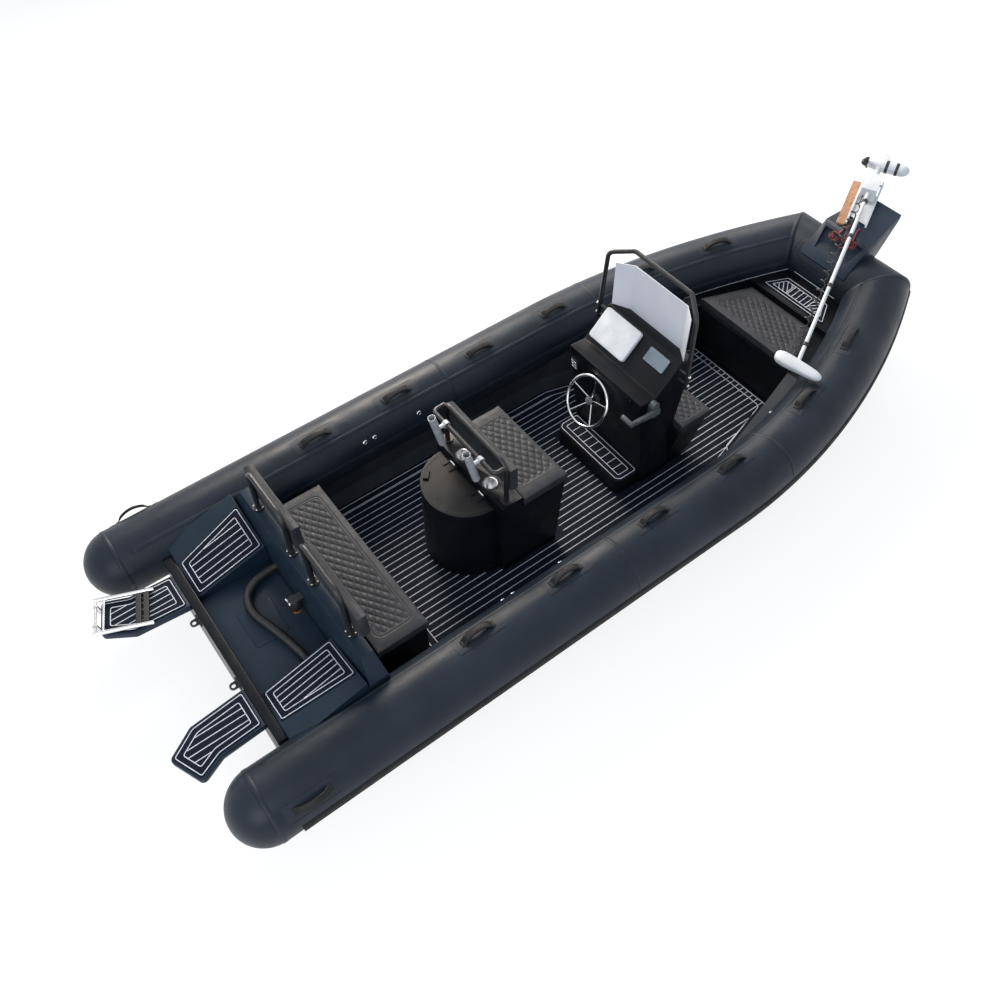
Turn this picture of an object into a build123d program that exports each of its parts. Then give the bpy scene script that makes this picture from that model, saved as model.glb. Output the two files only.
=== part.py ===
"""Rigid inflatable boat, about 5.8 m long, with centre console, helm seat and a bow-mounted electric motor.

Millimetres. +X points to the bow, +Y to port, +Z up. The origin is on the centreline,
amidships, at the waterline.
"""
import os
from math import atan2, cos, degrees, radians, sin, sqrt, tan

from build123d import *

os.makedirs("parts", exist_ok=True)

SIDES = (("port", 1), ("starboard", -1))
FIT = 0.3          # gap left between curved faces that meet
RUNNING_FIT = 0.05  # radial clearance of a pin in its bore
CORD_SHARE = 0.45  # part of a cord's run given to the bend at either end

# Inflated tubes: straight sides, one long bend up and inwards to a short bow tube
TUBE_R = 216
TUBE_Y = 943
TUBE_Z = 447
STERN_X = -2909
BEND_X = 550
BEND_R = 4136
BEND_TURN = 30.8
BEND_TILT = 16.4
STRAKE_THICK = 14
STRAKE_ARC = 20    # degrees of the tube that the rub strake covers
STRAKE_DROP = -8   # degrees below the tube's widest line
STRAKE_START_X = -2600

# Carrying handles
HANDLE_LENGTH = 230
HANDLE_FOOT = 30
HANDLE_RISE = 48
HANDLE_STRAP = 13
HANDLE_WIDTH = 38
HANDLE_SINK = 4    # the feet are cut to the tube's curve

# Hull and cockpit
DECK_Z = 56
BULKHEAD_FRONT = -1800
BULKHEAD_THICK = 150
BULKHEAD_X = BULKHEAD_FRONT - BULKHEAD_THICK
WELL_LENGTH = 480
TRANSOM_X = BULKHEAD_X - WELL_LENGTH
TRANSOM_THICK = 60
TRANSOM_TOP = 530
TRANSOM_HALF = 720
COCKPIT_HALF = 752
LEDGE_RISE = 94
LEDGE_OUT = 48
COCKPIT_TAPER_X = 500
LOCKER_HALF = 400
COCKPIT_HEIGHT = 1000
SOLE_BACK = 20
LOCKER_BACK = 938      # locker, bow step and stem are set out from the bow tube's centre
LOCKER_TOP = 450
BOW_STEP_BACK = 468
STEM_BACK = 68
EVA = 6
SOLE_Z = DECK_Z + EVA

# Stern: splash well, quarter decks, bulkhead and swim platforms
WELL_HALF = 390
WELL_FLOOR = 440
WELL_FLOOR_THICK = 24
HATCH_BACK = 242
HATCH_Y = 35
HATCH_LENGTH = 222
HATCH_WIDTH = 285
HATCH_CORNER = 28
HATCH_THICK = 4
BULKHEAD_TOP = 782
BULKHEAD_SLOPE = 36
BULKHEAD_SHOULDER = 700
QUARTER_Z = 601        # quarter deck height at the well's fore corner
QUARTER_RISE = 0.261   # rise per mm forward
QUARTER_FLARE = 0.235  # rise per mm outboard
PLATFORM_TOP = 530
PLATFORM_THICK = 60
EYE_HOLE_R = 13
EYE_THICK = 10
EYE_Y = 251
EYE_Z = 470
EYE_REACH = 34
EYE_OUTER_R = 24
EYE_BASE = 64

# Boarding ladder
LADDER_RAIL_R = 12.5
LADDER_CLEAR = 7.5
LADDER_OVERHANG = 22
LADDER_HALF = 114
LADDER_LENGTH = 335
LADDER_BAR = 48
LADDER_TREADS = (248, 292)
TREAD_WIDTH = 34
TREAD_THICK = 20
LUG_PITCH = 130
LUG_THICK = 10
LUG_R = 16
LUG_DROP = 6
LUG_FOOT = 44
HINGE_BAR_R = 8

# Seats
BENCH_DEPTH = 363
BENCH_FRONT = BULKHEAD_FRONT + BENCH_DEPTH
BENCH_TOP = 510
BENCH_HALF = 634
BENCH_TOE = 22
BENCH_BASE_HALF = 616
CUSHION_THICK = 62
CUSHION_GAP = 1
CUSHION_CORNER = 26
CUSHION_EDGE = 14
RAIL_R = 16
BACKREST_RAIL_Z = 1150
BACKREST_LEGS = (122, 531)
HOOP_LEAN = 26
HOOP_BEND = 70
BACKREST_SPAN = (61, 645)
BACKREST_TOP = 1046
BACKREST_BOTTOM = 850
BACKREST_THICK = 58
PAD_ROUND = 24
FLANGE_R = 38
FLANGE_THICK = 8

# Helm seat, live tank and its lid
TANK_X = -732
TANK_R = 284
TANK_FLARE = 16
TANK_TOP = 680
TANK_WALL = 12
LID_THICK = 16
LID_LIP = 4
LID_ROUND = 6
LID_TAB = 34
LID_TAB_RISE = 14
TANK_SHELF = 12
TANK_RIM = 22
HINGE_X = -724
HINGE_Y = 150
HINGE_R = 8
HINGE_PIN_R = 5
HINGE_LIFT = 6
HINGE_BLOCK = 44
HINGE_BARREL = 16
HINGE_PLAY = 1
HINGE_PIN = 80
HINGE_LEAF = 56
POD_BACK = -712
POD_FRONT = -225
POD_RAKE = 60
POD_HALF = 350
TRAY_TOP = 740
TRAY_FRONT = -560
SEAT_TOP = 655
CUP_R = 42
CUP_WALL = 2
CUP_DEPTH = 78
CUP_RIM = 50
CUP_PLACE = (-653, 142)
HELM_CUSHION_FRONT = -203
HELM_CUSHION_HALF = 368
HOOP_X = -651
HOOP_HALF = 310
HOOP_RAIL_Z = 1089
ROD_R = 24
ROD_BORE_R = 21
ROD_LENGTH = 272
ROD_TILT = 12
ROD_FOOT_X = -772
ROD_FOOT_Z = 913
ROD_Y = 175
ROD_RAIL_X = -735
ROD_RAIL_Z = 1060
ROD_RAIL_BEND = 34
CLAMP_NECK_R = 13
CLAMP_R = 23
CLAMP_WIDTH = 30
HELM_BACK_HALF = 341
HELM_BACK_TOP = 1032
HELM_BACK_BOTTOM = 838

# Console
CONSOLE_HALF = 346
STEP_BACK = 273
STEP_TOP = 197
STEP_HALF = 330
STEP_CUT = 34
STEP_PAD_INSET = 8
CONSOLE_ROUND = 10
SCREEN_R = 15
SCREEN_FOOT_X = 675
SCREEN_FOOT_Y = 422
SCREEN_FOOT_Z = 953
SCREEN_SHOULDER_X = 689
SCREEN_SHOULDER_Y = 392
SCREEN_SHOULDER_Z = 1500
SCREEN_HEAD_X = 778
SCREEN_HEAD_Y = 250
SCREEN_HEAD_Z = 1550
SCREEN_BEND = 55
SCREEN_STUBS = (985, 1060)
SCREEN_STUB_R = 9
GLASS_THICK = 6
GLASS_TOP = 1443
GLASS_SIDE_X = 712
GLASS_SIDE_Y = 336
GLASS_FRONT_X = 785
GLASS_FRONT_Y = 232
DISPLAY_AT = (-157, 147)
DISPLAY_WIDTH = 335
DISPLAY_HEIGHT = 228
DISPLAY_CORNER = 24
DISPLAY_THICK = 28
DISPLAY_TAPER = 6
GAUGE_AT = (193, 187)
GAUGE_WIDTH = 172
GAUGE_HEIGHT = 96
GAUGE_CORNER = 10
GAUGE_THICK = 12
SWITCH_AT = (-300, -150)
SWITCH_WIDTH = 62
SWITCH_HEIGHT = 92
SWITCH_CORNER = 6
SWITCH_THICK = 8
SWITCH_PITCH = 27
SWITCH_KEY = 20
THROTTLE_X = 470
THROTTLE_Z = 850
THROTTLE_BOX = 64
THROTTLE_DEPTH = 40
LEVER_LENGTH = 215
LEVER_ROOT = 20
LEVER_ROOT_HALF = 24
LEVER_TIP_HALF = 12
LEVER_RISE = 28
LEVER_THICK = 22
GRIP_LENGTH = 96
GRIP_R = 17

# Seat ahead of the console, and the bow cushion and pad
FRONT_SEAT_Z = 483
FRONT_BASE_LENGTH = 225
FRONT_BASE_HALF = 330
FRONT_SEAT_LENGTH = 268
FRONT_SEAT_HALF = 405
FRONT_CUSHION_LENGTH = 284
FRONT_CUSHION_HALF = 435
BOW_CUSHION_AFT = 458
BOW_CUSHION_FORE = 310
BOW_CUSHION_SHORT = 55
BOW_CUSHION_LIP = 4
BOW_PAD_START = 43
BOW_PAD_LENGTH = 165
BOW_PAD_AFT = 293
BOW_PAD_FORE = 194

# Steering wheel
WHEEL_R = 184
WHEEL_TUBE = 11
WHEEL_CENTRE = (290, 55, 683)
WHEEL_TILT = 27
SHAFT_R = 11
HUB_R = 30
HUB_FRONT = 18
HUB_BACK = 66
HUB_END_GAP = 4
SHAFT_END = 34
BOSS_NEAR = 74
BOSS_FAR = 160
BOSS_R = 44
SPOKES = 5
SPOKE_R = 5.5
SPOKE_FIRST = 20

# Bow motor, lying stowed across the bow
PIVOT_FORE = 482   # hinge pin, from the bow tube's centre
PIVOT_ACROSS = 200
PIVOT_RISE = 418
MOTOR_SKEW = 26.6
MOTOR_PITCH = 11.86
ARM_SHAFT_R = 14
RAIL_INNER = 63
RAIL_THICK = 14
PIVOT_R = 8
TORPEDO_R = 44
PROP_R = 115
RAIL_AFT = -430
RAIL_AFT_TOP = -70
RAIL_FORE = 25
RAIL_FORE_TOP = 21
RAIL_DEEP = 66
FLOOR_FORE = -110
FLOOR_THICK = 8
TIMBER_AFT = -447
TIMBER_FORE = -28
TIMBER_WIDTH = 60
TIMBER_THICK = 25
TIMBER_DROP = 72
LOWER_FORE = 85
LOWER_UP = 106
HEAD_FORE = -1777
HEAD_UP = -323
HEAD_TALL = 95
HEAD_ROUND = 20
HEAD_WIDE_FORE = -1745
HEAD_WIDE_ACROSS = 105
HEAD_WIDE_R = 55
HEAD_TIP_FORE = -1820
HEAD_TIP_ACROSS = -145
HEAD_TIP_R = 35
HOUSING_AFT = -200
HOUSING_FORE = -40
HOUSING_HALF = 55
HOUSING_BELOW = 58
HOUSING_ABOVE = 35
ARM_LUG_R = 16
ARM_LUG_OUTER = 52
ARM_LUG_THICK = 12
PIN_HALF = 80
TORPEDO_NOSE = -216
TORPEDO_DOME = 70
TORPEDO_TAIL = 80
TORPEDO_TAIL_R = 30
COLLAR_LENGTH = 110
COLLAR_R = 24
FIN_NOSE = -90
FIN_RAKE = 45
FIN_TAIL = 20
FIN_REACH = 120
FIN_THICK = 9
PROP_START = 85
PROP_PIN_END = 116
PROP_END = 132
PROP_HUB_R = 26
BLADES = 2
BLADE_FIRST = 60
BLADE_PITCH = 38
BLADE_START = 18
BLADE_ROOT = 26
BLADE_WIDEST = 63
BLADE_CHORD = 46
BLADE_TIP = 25
BLADE_THICK = 5

# Curly cable beside the shaft: forward of the pin, across to port, below the shaft's axis
CABLE_R = 28
CABLE_ROUTE = (
    (-1712, 50, 6),
    (-1430, 62, 22),
    (-1130, 50, 14),
    (-830, 64, 26),
    (-530, 50, 20),
    (-250, 34, 34),
    (-190, 30, 32),
)

# Bow moulding, set out from the bow tube's centre
PLATE_AFT_BACK = 192
PLATE_AFT_RISE = 123
PLATE_KNEE_FORE = 22
PLATE_KNEE_RISE = 323
PLATE_FRONT_FORE = 392
PLATE_FRONT_RISE = 388
PLATE_LIP = 35
PLATE_CHIN_BACK = 200
PLATE_CHIN_DROP = 240
PLATE_FLOOR_DROP = 300
PLATE_HEM_IN = 24
PLATE_HEM_DROP = 45
PLATE_AFT_HALF = 205
PLATE_FRONT_HALF = 150
RECESS_FORE = 172
RECESS_AFT = 142
RECESS_TOP = 246
RECESS_FOOT = 86
RECESS_DEPTH = 25

# Supply leads from the bow tube's centre, rigging hose from the bulkhead, and fuel filter
LEAD_R = 5
LEAD_ROUTE = (
    (100, 20, 342.5),
    (60, 34, 336),
    (16, 40, 332),
    (-28, 52, 293),
    (-62, 30, 256),
    (-78, -12, 240),
    (-62, -54, 256),
    (-28, -76, 293),
    (16, -64, 332),
    (54, -44, 335),
    (88, -40, 341),
)
HOSE_R = 27
HOSE_LIFT = 2
HOSE_ROUTE = (
    (0, 312),
    (-92, 312),
    (-194, 276),
    (-256, 202),
    (-268, 83),
    (-222, -52),
    (-186, -201),
    (-162, -314),
    (-162, -390),
)
FILTER_Y = -60
FILTER_Z = 540
FILTER_OUT = 52
FILTER_R = 38
FILTER_BOWL_R = 30
FILTER_CAN = 70
FILTER_BOWL = 45
FILTER_HEAD = 22


def tube_centre(turn, side):
    """Centre of a side tube where its bow bend has turned through this many degrees."""
    inward = BEND_R * (1 - cos(radians(turn)))
    return Vector(
        BEND_X + BEND_R * sin(radians(turn)),
        side * (TUBE_Y - inward * cos(radians(BEND_TILT))),
        TUBE_Z + inward * sin(radians(BEND_TILT)),
    )


def tube_heading(turn, side):
    """Direction of a side tube where its bow bend has turned through this many degrees."""
    across = sin(radians(turn))
    return Vector(
        cos(radians(turn)),
        -side * across * cos(radians(BEND_TILT)),
        across * sin(radians(BEND_TILT)),
    )


def turn_at(x):
    """Degrees that the tube has turned at this station, 0 along the straight side."""
    if x <= BEND_X:
        return 0
    return degrees(atan2(x - BEND_X, sqrt(BEND_R**2 - (x - BEND_X) ** 2)))


def tube_station(x, side):
    """Centre and heading of a side tube at a station."""
    turn = turn_at(x)
    centre = tube_centre(turn, side)
    return Vector(x, centre.Y, centre.Z), tube_heading(turn, side)


def mitre(side):
    """Plane where a side tube is joined to the bow tube, facing the bow tube."""
    normal = tube_heading(BEND_TURN, side) + Vector(0, -side, 0)
    return Plane(origin=tube_centre(BEND_TURN, side), z_dir=normal)


BOW_CENTRE = tube_centre(BEND_TURN, 1)
LOCKER_X = BOW_CENTRE.X - LOCKER_BACK
BOW_STEP_X = BOW_CENTRE.X - BOW_STEP_BACK
STEM_X = BOW_CENTRE.X - STEM_BACK
PLATE_AFT_X = BOW_CENTRE.X - PLATE_AFT_BACK
PLATE_AFT_Z = BOW_CENTRE.Z + PLATE_AFT_RISE
PLATE_KNEE_X = BOW_CENTRE.X + PLATE_KNEE_FORE
PLATE_KNEE_Z = BOW_CENTRE.Z + PLATE_KNEE_RISE
PLATE_FRONT_X = BOW_CENTRE.X + PLATE_FRONT_FORE
PLATE_FRONT_Z = BOW_CENTRE.Z + PLATE_FRONT_RISE


def side_tube(side, radius):
    """Side tube with its domed stern end, cut at the bow mitre."""
    stern = STERN_X + TUBE_R
    with BuildPart() as tube:
        with BuildSketch(Plane((stern, side * TUBE_Y, TUBE_Z), x_dir=(1, 0, 0), z_dir=(0, -1, 0))):
            with BuildLine():
                dome = CenterArc((0, 0), radius, 90, 90)
                Polyline(dome @ 0, (BEND_X - stern, radius), (BEND_X - stern, 0), (-radius, 0))
            make_face()
        revolve(axis=Axis((stern, side * TUBE_Y, TUBE_Z), (1, 0, 0)))
        with BuildLine():
            bend = ThreePointArc(*(tube_centre(BEND_TURN * share, side) for share in (0, 0.5, 1)))
            Line(bend @ 1, bend @ 1 + tube_heading(BEND_TURN, side) * 2 * radius)
        with BuildSketch(Plane(bend @ 0, x_dir=(0, 1, 0), z_dir=(1, 0, 0))):
            Circle(radius)
        sweep()
        split(bisect_by=mitre(side), keep=Keep.BOTTOM)
    return tube.part


def bow_tube(radius):
    """Short tube across the bow between the two mitres."""
    with BuildPart() as tube:
        with BuildSketch(Plane((BOW_CENTRE.X, 0, BOW_CENTRE.Z), x_dir=(1, 0, 0), z_dir=(0, 1, 0))):
            Circle(radius)
        extrude(amount=2 * BOW_CENTRE.Y + radius, both=True)
        split(bisect_by=mitre(1), keep=Keep.TOP)
        split(bisect_by=mitre(-1), keep=Keep.TOP)
    return tube.part


# The seats that the tubes bed into are cut a little larger than the tubes
tube_beds = {side: side_tube(side, TUBE_R + FIT) for _, side in SIDES}
bow_bed = bow_tube(TUBE_R + FIT)

for label, side in SIDES:
    with BuildPart() as air_tube:
        add(side_tube(side, TUBE_R))
    air_tube.part.label = f"tube_{label}"
    export_step(air_tube.part, f"parts/tube_{label}.step")

with BuildPart() as tube_bow:
    add(bow_tube(TUBE_R))
tube_bow.part.label = "tube_bow"
export_step(tube_bow.part, "parts/tube_bow.step")


def rub_strake(side):
    """Thick rubber strip glued along the outside of a side tube, ending at the bow mitre."""
    start = Vector(STRAKE_START_X, side * TUBE_Y, TUBE_Z)
    first = STRAKE_DROP - STRAKE_ARC / 2
    with BuildPart() as strake:
        with BuildLine():
            Line(start, tube_centre(0, side))
            bend = ThreePointArc(*(tube_centre(BEND_TURN * share, side) for share in (0, 0.5, 1)))
            Line(bend @ 1, bend @ 1 + tube_heading(BEND_TURN, side) * 2 * TUBE_R)
        with BuildSketch(Plane(start, x_dir=(0, side, 0), z_dir=(side, 0, 0))):
            with BuildLine():
                near = CenterArc((0, 0), TUBE_R + FIT, first, STRAKE_ARC)
                far = CenterArc((0, 0), TUBE_R + STRAKE_THICK, first, STRAKE_ARC)
                Line(near @ 0, far @ 0)
                Line(near @ 1, far @ 1)
            make_face()
        sweep()
        split(bisect_by=mitre(side), keep=Keep.BOTTOM)
    return strake.part


with BuildPart() as rub_strakes:
    for _, side in SIDES:
        add(rub_strake(side))
rub_strakes.part.label = "rub_strakes"
export_step(rub_strakes.part, "parts/rub_strakes.step")

# Carrying handles: x station, degrees round the tube from its outboard side
HANDLES = ((-2491, 36), (-1296, 102), (-668, 102), (17, 102), (681, 102), (1456, 102), (2076, 99))


def handle_plane(x, round_tube, side):
    """Plane on the tube's skin, x along the tube and y outwards from it."""
    centre, heading = tube_station(x, side)
    outboard = heading.cross(Vector(0, 0, 1)).normalized() * side * -1
    up = outboard.cross(heading).normalized()
    if up.Z < 0:
        up = up * -1
    out = outboard * cos(radians(round_tube)) + up * sin(radians(round_tube))
    return Plane(centre + out * (TUBE_R - HANDLE_SINK), x_dir=heading, z_dir=heading.cross(out))


with BuildPart() as tube_handles:
    for _, side in SIDES:
        for x, round_tube in HANDLES:
            with BuildSketch(handle_plane(x, round_tube, side)):
                half = HANDLE_LENGTH / 2
                with BuildLine():
                    ThreePointArc((-half, 0), (0, HANDLE_RISE), (half, 0))
                    Line((half, 0), (half - HANDLE_FOOT, 0))
                    ThreePointArc(
                        (half - HANDLE_FOOT, 0), (0, HANDLE_RISE - HANDLE_STRAP), (HANDLE_FOOT - half, 0)
                    )
                    Line((HANDLE_FOOT - half, 0), (-half, 0))
                make_face()
            extrude(amount=HANDLE_WIDTH / 2, both=True)
        add(tube_beds[side], mode=Mode.SUBTRACT)
tube_handles.part.label = "tube_handles"
export_step(tube_handles.part, "parts/tube_handles.step")

# Hull sections: station x, keel height, chine half-breadth and height
HULL_SECTIONS = (
    (TRANSOM_X, -230, 800, 40),
    (600, -230, 800, 50),
    (1500, -215, 680, 85),
    (BOW_STEP_X, -60, 430, 230),
    (STEM_X, 300, 170, 420),
)
SHEER_IN = 93
SHEER_DOWN = 47

with BuildPart() as hull_form:
    for x, keel_z, chine_y, chine_z in HULL_SECTIONS:
        centre, _ = tube_station(x, 1)
        sheer = (centre.Y - SHEER_IN, centre.Z - SHEER_DOWN)
        with BuildSketch(Plane((x, 0, 0), x_dir=(0, 1, 0), z_dir=(1, 0, 0))):
            with BuildLine():
                Polyline(
                    (0, keel_z),
                    (chine_y, chine_z),
                    sheer,
                    (-sheer[0], sheer[1]),
                    (-chine_y, chine_z),
                    close=True,
                )
            make_face()
    loft(ruled=True)
    for _, side in SIDES:
        add(tube_beds[side], mode=Mode.SUBTRACT)
    add(bow_bed, mode=Mode.SUBTRACT)

with BuildPart() as hull:
    add(hull_form.part)
    split(bisect_by=Plane.XY.offset(DECK_Z), keep=Keep.BOTTOM)
hull.part.label = "hull"
export_step(hull.part, "parts/hull.step")

# Cockpit space: station x, half-breadth at the deck; the wall above stands on a sloping ledge
COCKPIT_SECTIONS = ((TRANSOM_X, COCKPIT_HALF), (COCKPIT_TAPER_X, COCKPIT_HALF), (LOCKER_X, LOCKER_HALF))
with BuildPart() as cockpit_space:
    for x, half in COCKPIT_SECTIONS:
        with BuildSketch(Plane((x, 0, DECK_Z), x_dir=(0, 1, 0), z_dir=(1, 0, 0))):
            with BuildLine():
                Polyline(
                    (-half, 0),
                    (half, 0),
                    (half + LEDGE_OUT, LEDGE_RISE),
                    (half + LEDGE_OUT, COCKPIT_HEIGHT),
                    (-half - LEDGE_OUT, COCKPIT_HEIGHT),
                    (-half - LEDGE_OUT, LEDGE_RISE),
                    close=True,
                )
            make_face()
    loft(ruled=True)

# Cockpit sides: moulded liner walls from the deck up to the tubes
with BuildPart() as cockpit_sides:
    add(hull_form.part)
    split(bisect_by=Plane.XY.offset(DECK_Z), keep=Keep.TOP)
    split(bisect_by=Plane.YZ.offset(LOCKER_X), keep=Keep.BOTTOM)
    add(cockpit_space.part, mode=Mode.SUBTRACT)
cockpit_sides.part.label = "cockpit_sides"
export_step(cockpit_sides.part, "parts/cockpit_sides.step")

# Bow block: locker under the bow cushion, and the bow step ahead of it
with BuildPart() as bow_block:
    add(hull_form.part)
    split(bisect_by=Plane.XY.offset(DECK_Z), keep=Keep.TOP)
    split(bisect_by=Plane.YZ.offset(LOCKER_X), keep=Keep.TOP)
    with BuildSketch(Plane((LOCKER_X, 0, LOCKER_TOP), x_dir=(1, 0, 0), z_dir=(0, 0, 1))):
        Rectangle(BOW_STEP_X - LOCKER_X, 2 * TUBE_Y, align=(Align.MIN, Align.CENTER))
    extrude(amount=TUBE_R, mode=Mode.SUBTRACT)
bow_block.part.label = "bow_block"
export_step(bow_block.part, "parts/bow_block.step")

# Foam deck covering, a sheet with rounded bow corners laid on the deck
SOLE_INSET = 8
with BuildPart() as sole_pad:
    with BuildSketch(Plane.XY.offset(DECK_Z)):
        with BuildLine():
            Polyline(
                (BENCH_FRONT + SOLE_BACK, COCKPIT_HALF - SOLE_INSET),
                (COCKPIT_TAPER_X, COCKPIT_HALF - SOLE_INSET),
                (LOCKER_X - SOLE_INSET, LOCKER_HALF - SOLE_INSET),
                (LOCKER_X - SOLE_INSET, SOLE_INSET - LOCKER_HALF),
                (COCKPIT_TAPER_X, SOLE_INSET - COCKPIT_HALF),
                (BENCH_FRONT + SOLE_BACK, SOLE_INSET - COCKPIT_HALF),
                close=True,
            )
        make_face()
    extrude(amount=EVA)
sole_pad.part.label = "sole_pad"
export_step(sole_pad.part, "parts/sole_pad.step")

# Transom: thick board closing the hull, its top a straight bar between the tubes
with BuildPart() as transom:
    _, keel_z, chine_y, chine_z = HULL_SECTIONS[0]
    with BuildSketch(Plane((TRANSOM_X, 0, 0), x_dir=(0, -1, 0), z_dir=(-1, 0, 0))):
        with BuildLine():
            Polyline(
                (0, keel_z),
                (chine_y, chine_z),
                (TUBE_Y - SHEER_IN, TUBE_Z - SHEER_DOWN),
                (TRANSOM_HALF, TRANSOM_TOP),
                (-TRANSOM_HALF, TRANSOM_TOP),
                (SHEER_IN - TUBE_Y, TUBE_Z - SHEER_DOWN),
                (-chine_y, chine_z),
                close=True,
            )
        make_face()
    extrude(amount=TRANSOM_THICK)
    for _, side in SIDES:
        add(tube_beds[side], mode=Mode.SUBTRACT)
transom.part.label = "transom"
export_step(transom.part, "parts/transom.step")

# Splash well floor between the quarter decks
with BuildPart() as well_floor:
    with BuildSketch(Plane.XY.offset(WELL_FLOOR)):
        with Locations((TRANSOM_X, 0)):
            Rectangle(BULKHEAD_X - TRANSOM_X, 2 * WELL_HALF, align=(Align.MIN, Align.CENTER))
    extrude(amount=-WELL_FLOOR_THICK)
well_floor.part.label = "well_floor"
export_step(well_floor.part, "parts/well_floor.step")

# Hatch plate in the well floor
with BuildPart() as well_hatch:
    with BuildSketch(Plane.XY.offset(WELL_FLOOR)):
        with Locations((BULKHEAD_X - HATCH_BACK, HATCH_Y)):
            RectangleRounded(HATCH_LENGTH, HATCH_WIDTH, HATCH_CORNER)
    extrude(amount=HATCH_THICK)
well_hatch.part.label = "well_hatch"
export_step(well_hatch.part, "parts/well_hatch.step")


def quarter_plane(side):
    """Sloping top of a quarter deck, rising forward and outboard."""
    normal = Vector(-QUARTER_RISE, -side * QUARTER_FLARE, 1)
    return Plane((BULKHEAD_X, side * WELL_HALF, QUARTER_Z), z_dir=normal)


def quarter_deck(side):
    """Moulded quarter deck between the well and the tube, its top sloping up forward and outboard."""
    with BuildPart() as block:
        with BuildSketch(Plane.XY.offset(DECK_Z)):
            with Locations(((TRANSOM_X + BULKHEAD_X) / 2, side * (WELL_HALF + TUBE_Y) / 2)):
                Rectangle(BULKHEAD_X - TRANSOM_X, TUBE_Y - WELL_HALF)
        extrude(amount=QUARTER_Z + TUBE_R)
        split(bisect_by=quarter_plane(side), keep=Keep.BOTTOM)
        add(cockpit_space.part, mode=Mode.INTERSECT)
        add(tube_beds[side], mode=Mode.SUBTRACT)
    return block.part


with BuildPart() as quarter_decks:
    for _, side in SIDES:
        add(quarter_deck(side))
quarter_decks.part.label = "quarter_decks"
export_step(quarter_decks.part, "parts/quarter_decks.step")

# Quarter pad corners: x, half-breadth
QUARTER_PAD_FORE = 15
QUARTER_PAD_AFT = 18
QUARTER_PAD_IN = 12
QUARTER_PAD = (
    (BULKHEAD_X - QUARTER_PAD_FORE, WELL_HALF + QUARTER_PAD_IN),
    (BULKHEAD_X - QUARTER_PAD_FORE, 700),
    (TRANSOM_X + QUARTER_PAD_AFT, 632),
    (TRANSOM_X + QUARTER_PAD_AFT, WELL_HALF + QUARTER_PAD_IN),
)


def quarter_pad(side):
    """Foam pad on a quarter deck."""
    with BuildPart() as pad:
        with BuildSketch(Plane.XY.offset(DECK_Z)):
            with BuildLine():
                Polyline(*((x, side * y) for x, y in QUARTER_PAD), close=True)
            make_face()
        extrude(amount=QUARTER_Z + TUBE_R)
        split(bisect_by=quarter_plane(side), keep=Keep.TOP)
        split(bisect_by=quarter_plane(side).offset(EVA), keep=Keep.BOTTOM)
    return pad.part


# Swim platform outline: x, half-breadth, from the transom round to the transom
TRANSOM_BACK = TRANSOM_X - TRANSOM_THICK
PLATFORM = (
    (TRANSOM_BACK, 330),
    (TRANSOM_BACK, 594),
    (TRANSOM_BACK - 266, 609),
    (TRANSOM_BACK - 414, 677),
    (TRANSOM_BACK - 505, 465),
    (TRANSOM_BACK - 337, 358),
)
PLATFORM_CORNER = 30
PLATFORM_BEVEL = 14
PAD_INSET = 16
PAD_CORNER = 12
with BuildPart() as platforms:
    for _, side in SIDES:
        with BuildSketch(Plane.XY.offset(PLATFORM_TOP)):
            with BuildLine():
                Polyline(*((x, side * y) for x, y in PLATFORM), close=True)
            make_face()
        extrude(amount=-PLATFORM_THICK)
    free_end = TRANSOM_BACK - TRANSOM_THICK
    corners = platforms.edges().filter_by(Axis.Z)
    fillet(corners.filter_by(lambda edge: edge.center().X < free_end), PLATFORM_CORNER)
    lower_edges = platforms.edges().group_by(Axis.Z)[0]
    chamfer(lower_edges.filter_by(lambda edge: edge.center().X < free_end), PLATFORM_BEVEL)
platforms.part.label = "platforms"
export_step(platforms.part, "parts/platforms.step")

# Ribbed foam pads on the quarter decks and the swim platforms
with BuildPart() as stern_pads:
    for _, side in SIDES:
        add(quarter_pad(side))
        with BuildSketch(Plane.XY.offset(PLATFORM_TOP)) as outline:
            with BuildLine():
                Polyline(*((x, side * y) for x, y in PLATFORM), close=True)
            make_face()
            offset(amount=-PAD_INSET, kind=Kind.INTERSECTION, mode=Mode.REPLACE)
            fillet(outline.vertices(), PAD_CORNER)
        extrude(amount=EVA)
stern_pads.part.label = "stern_pads"
export_step(stern_pads.part, "parts/stern_pads.step")


def bent_tube(points, bend, radius):
    """Round bar along straight runs joined by tangent bends."""
    with BuildPart() as bar:
        with BuildLine() as run:
            FilletPolyline(*points, radius=bend)
        with BuildSketch(Plane(run.line @ 0, z_dir=run.line % 0)):
            Circle(radius)
        sweep()
    return bar.part


def bend_radii(points):
    """Radius at each inner point of a cord: the bend takes up most of the shorter run beside it."""
    corners = [Vector(*point) if isinstance(point, tuple) else point for point in points]
    radii = []
    for before, here, after in zip(corners, corners[1:], corners[2:]):
        into, out = here - before, after - here
        half_turn = radians(into.get_angle(out)) / 2
        radii.append(round(CORD_SHARE * min(into.length, out.length) / tan(half_turn), 1))
    return radii


def bent_cord(points, radii, radius):
    """Round cord along straight runs, each corner with a bend of its own radius."""
    with BuildPart() as cord:
        with BuildLine() as path:
            FilletPolyline(*points, radius=radii)
        with BuildSketch(Plane(path.line @ 0, z_dir=path.line % 0)):
            Circle(radius)
        sweep()
    return cord.part


def straight_bar(start, end, radius):
    """Round bar between two points."""
    start, end = Vector(*start), Vector(*end)
    with BuildPart() as bar:
        with BuildSketch(Plane(start, z_dir=end - start)):
            Circle(radius)
        extrude(amount=(end - start).length)
    return bar.part


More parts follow.
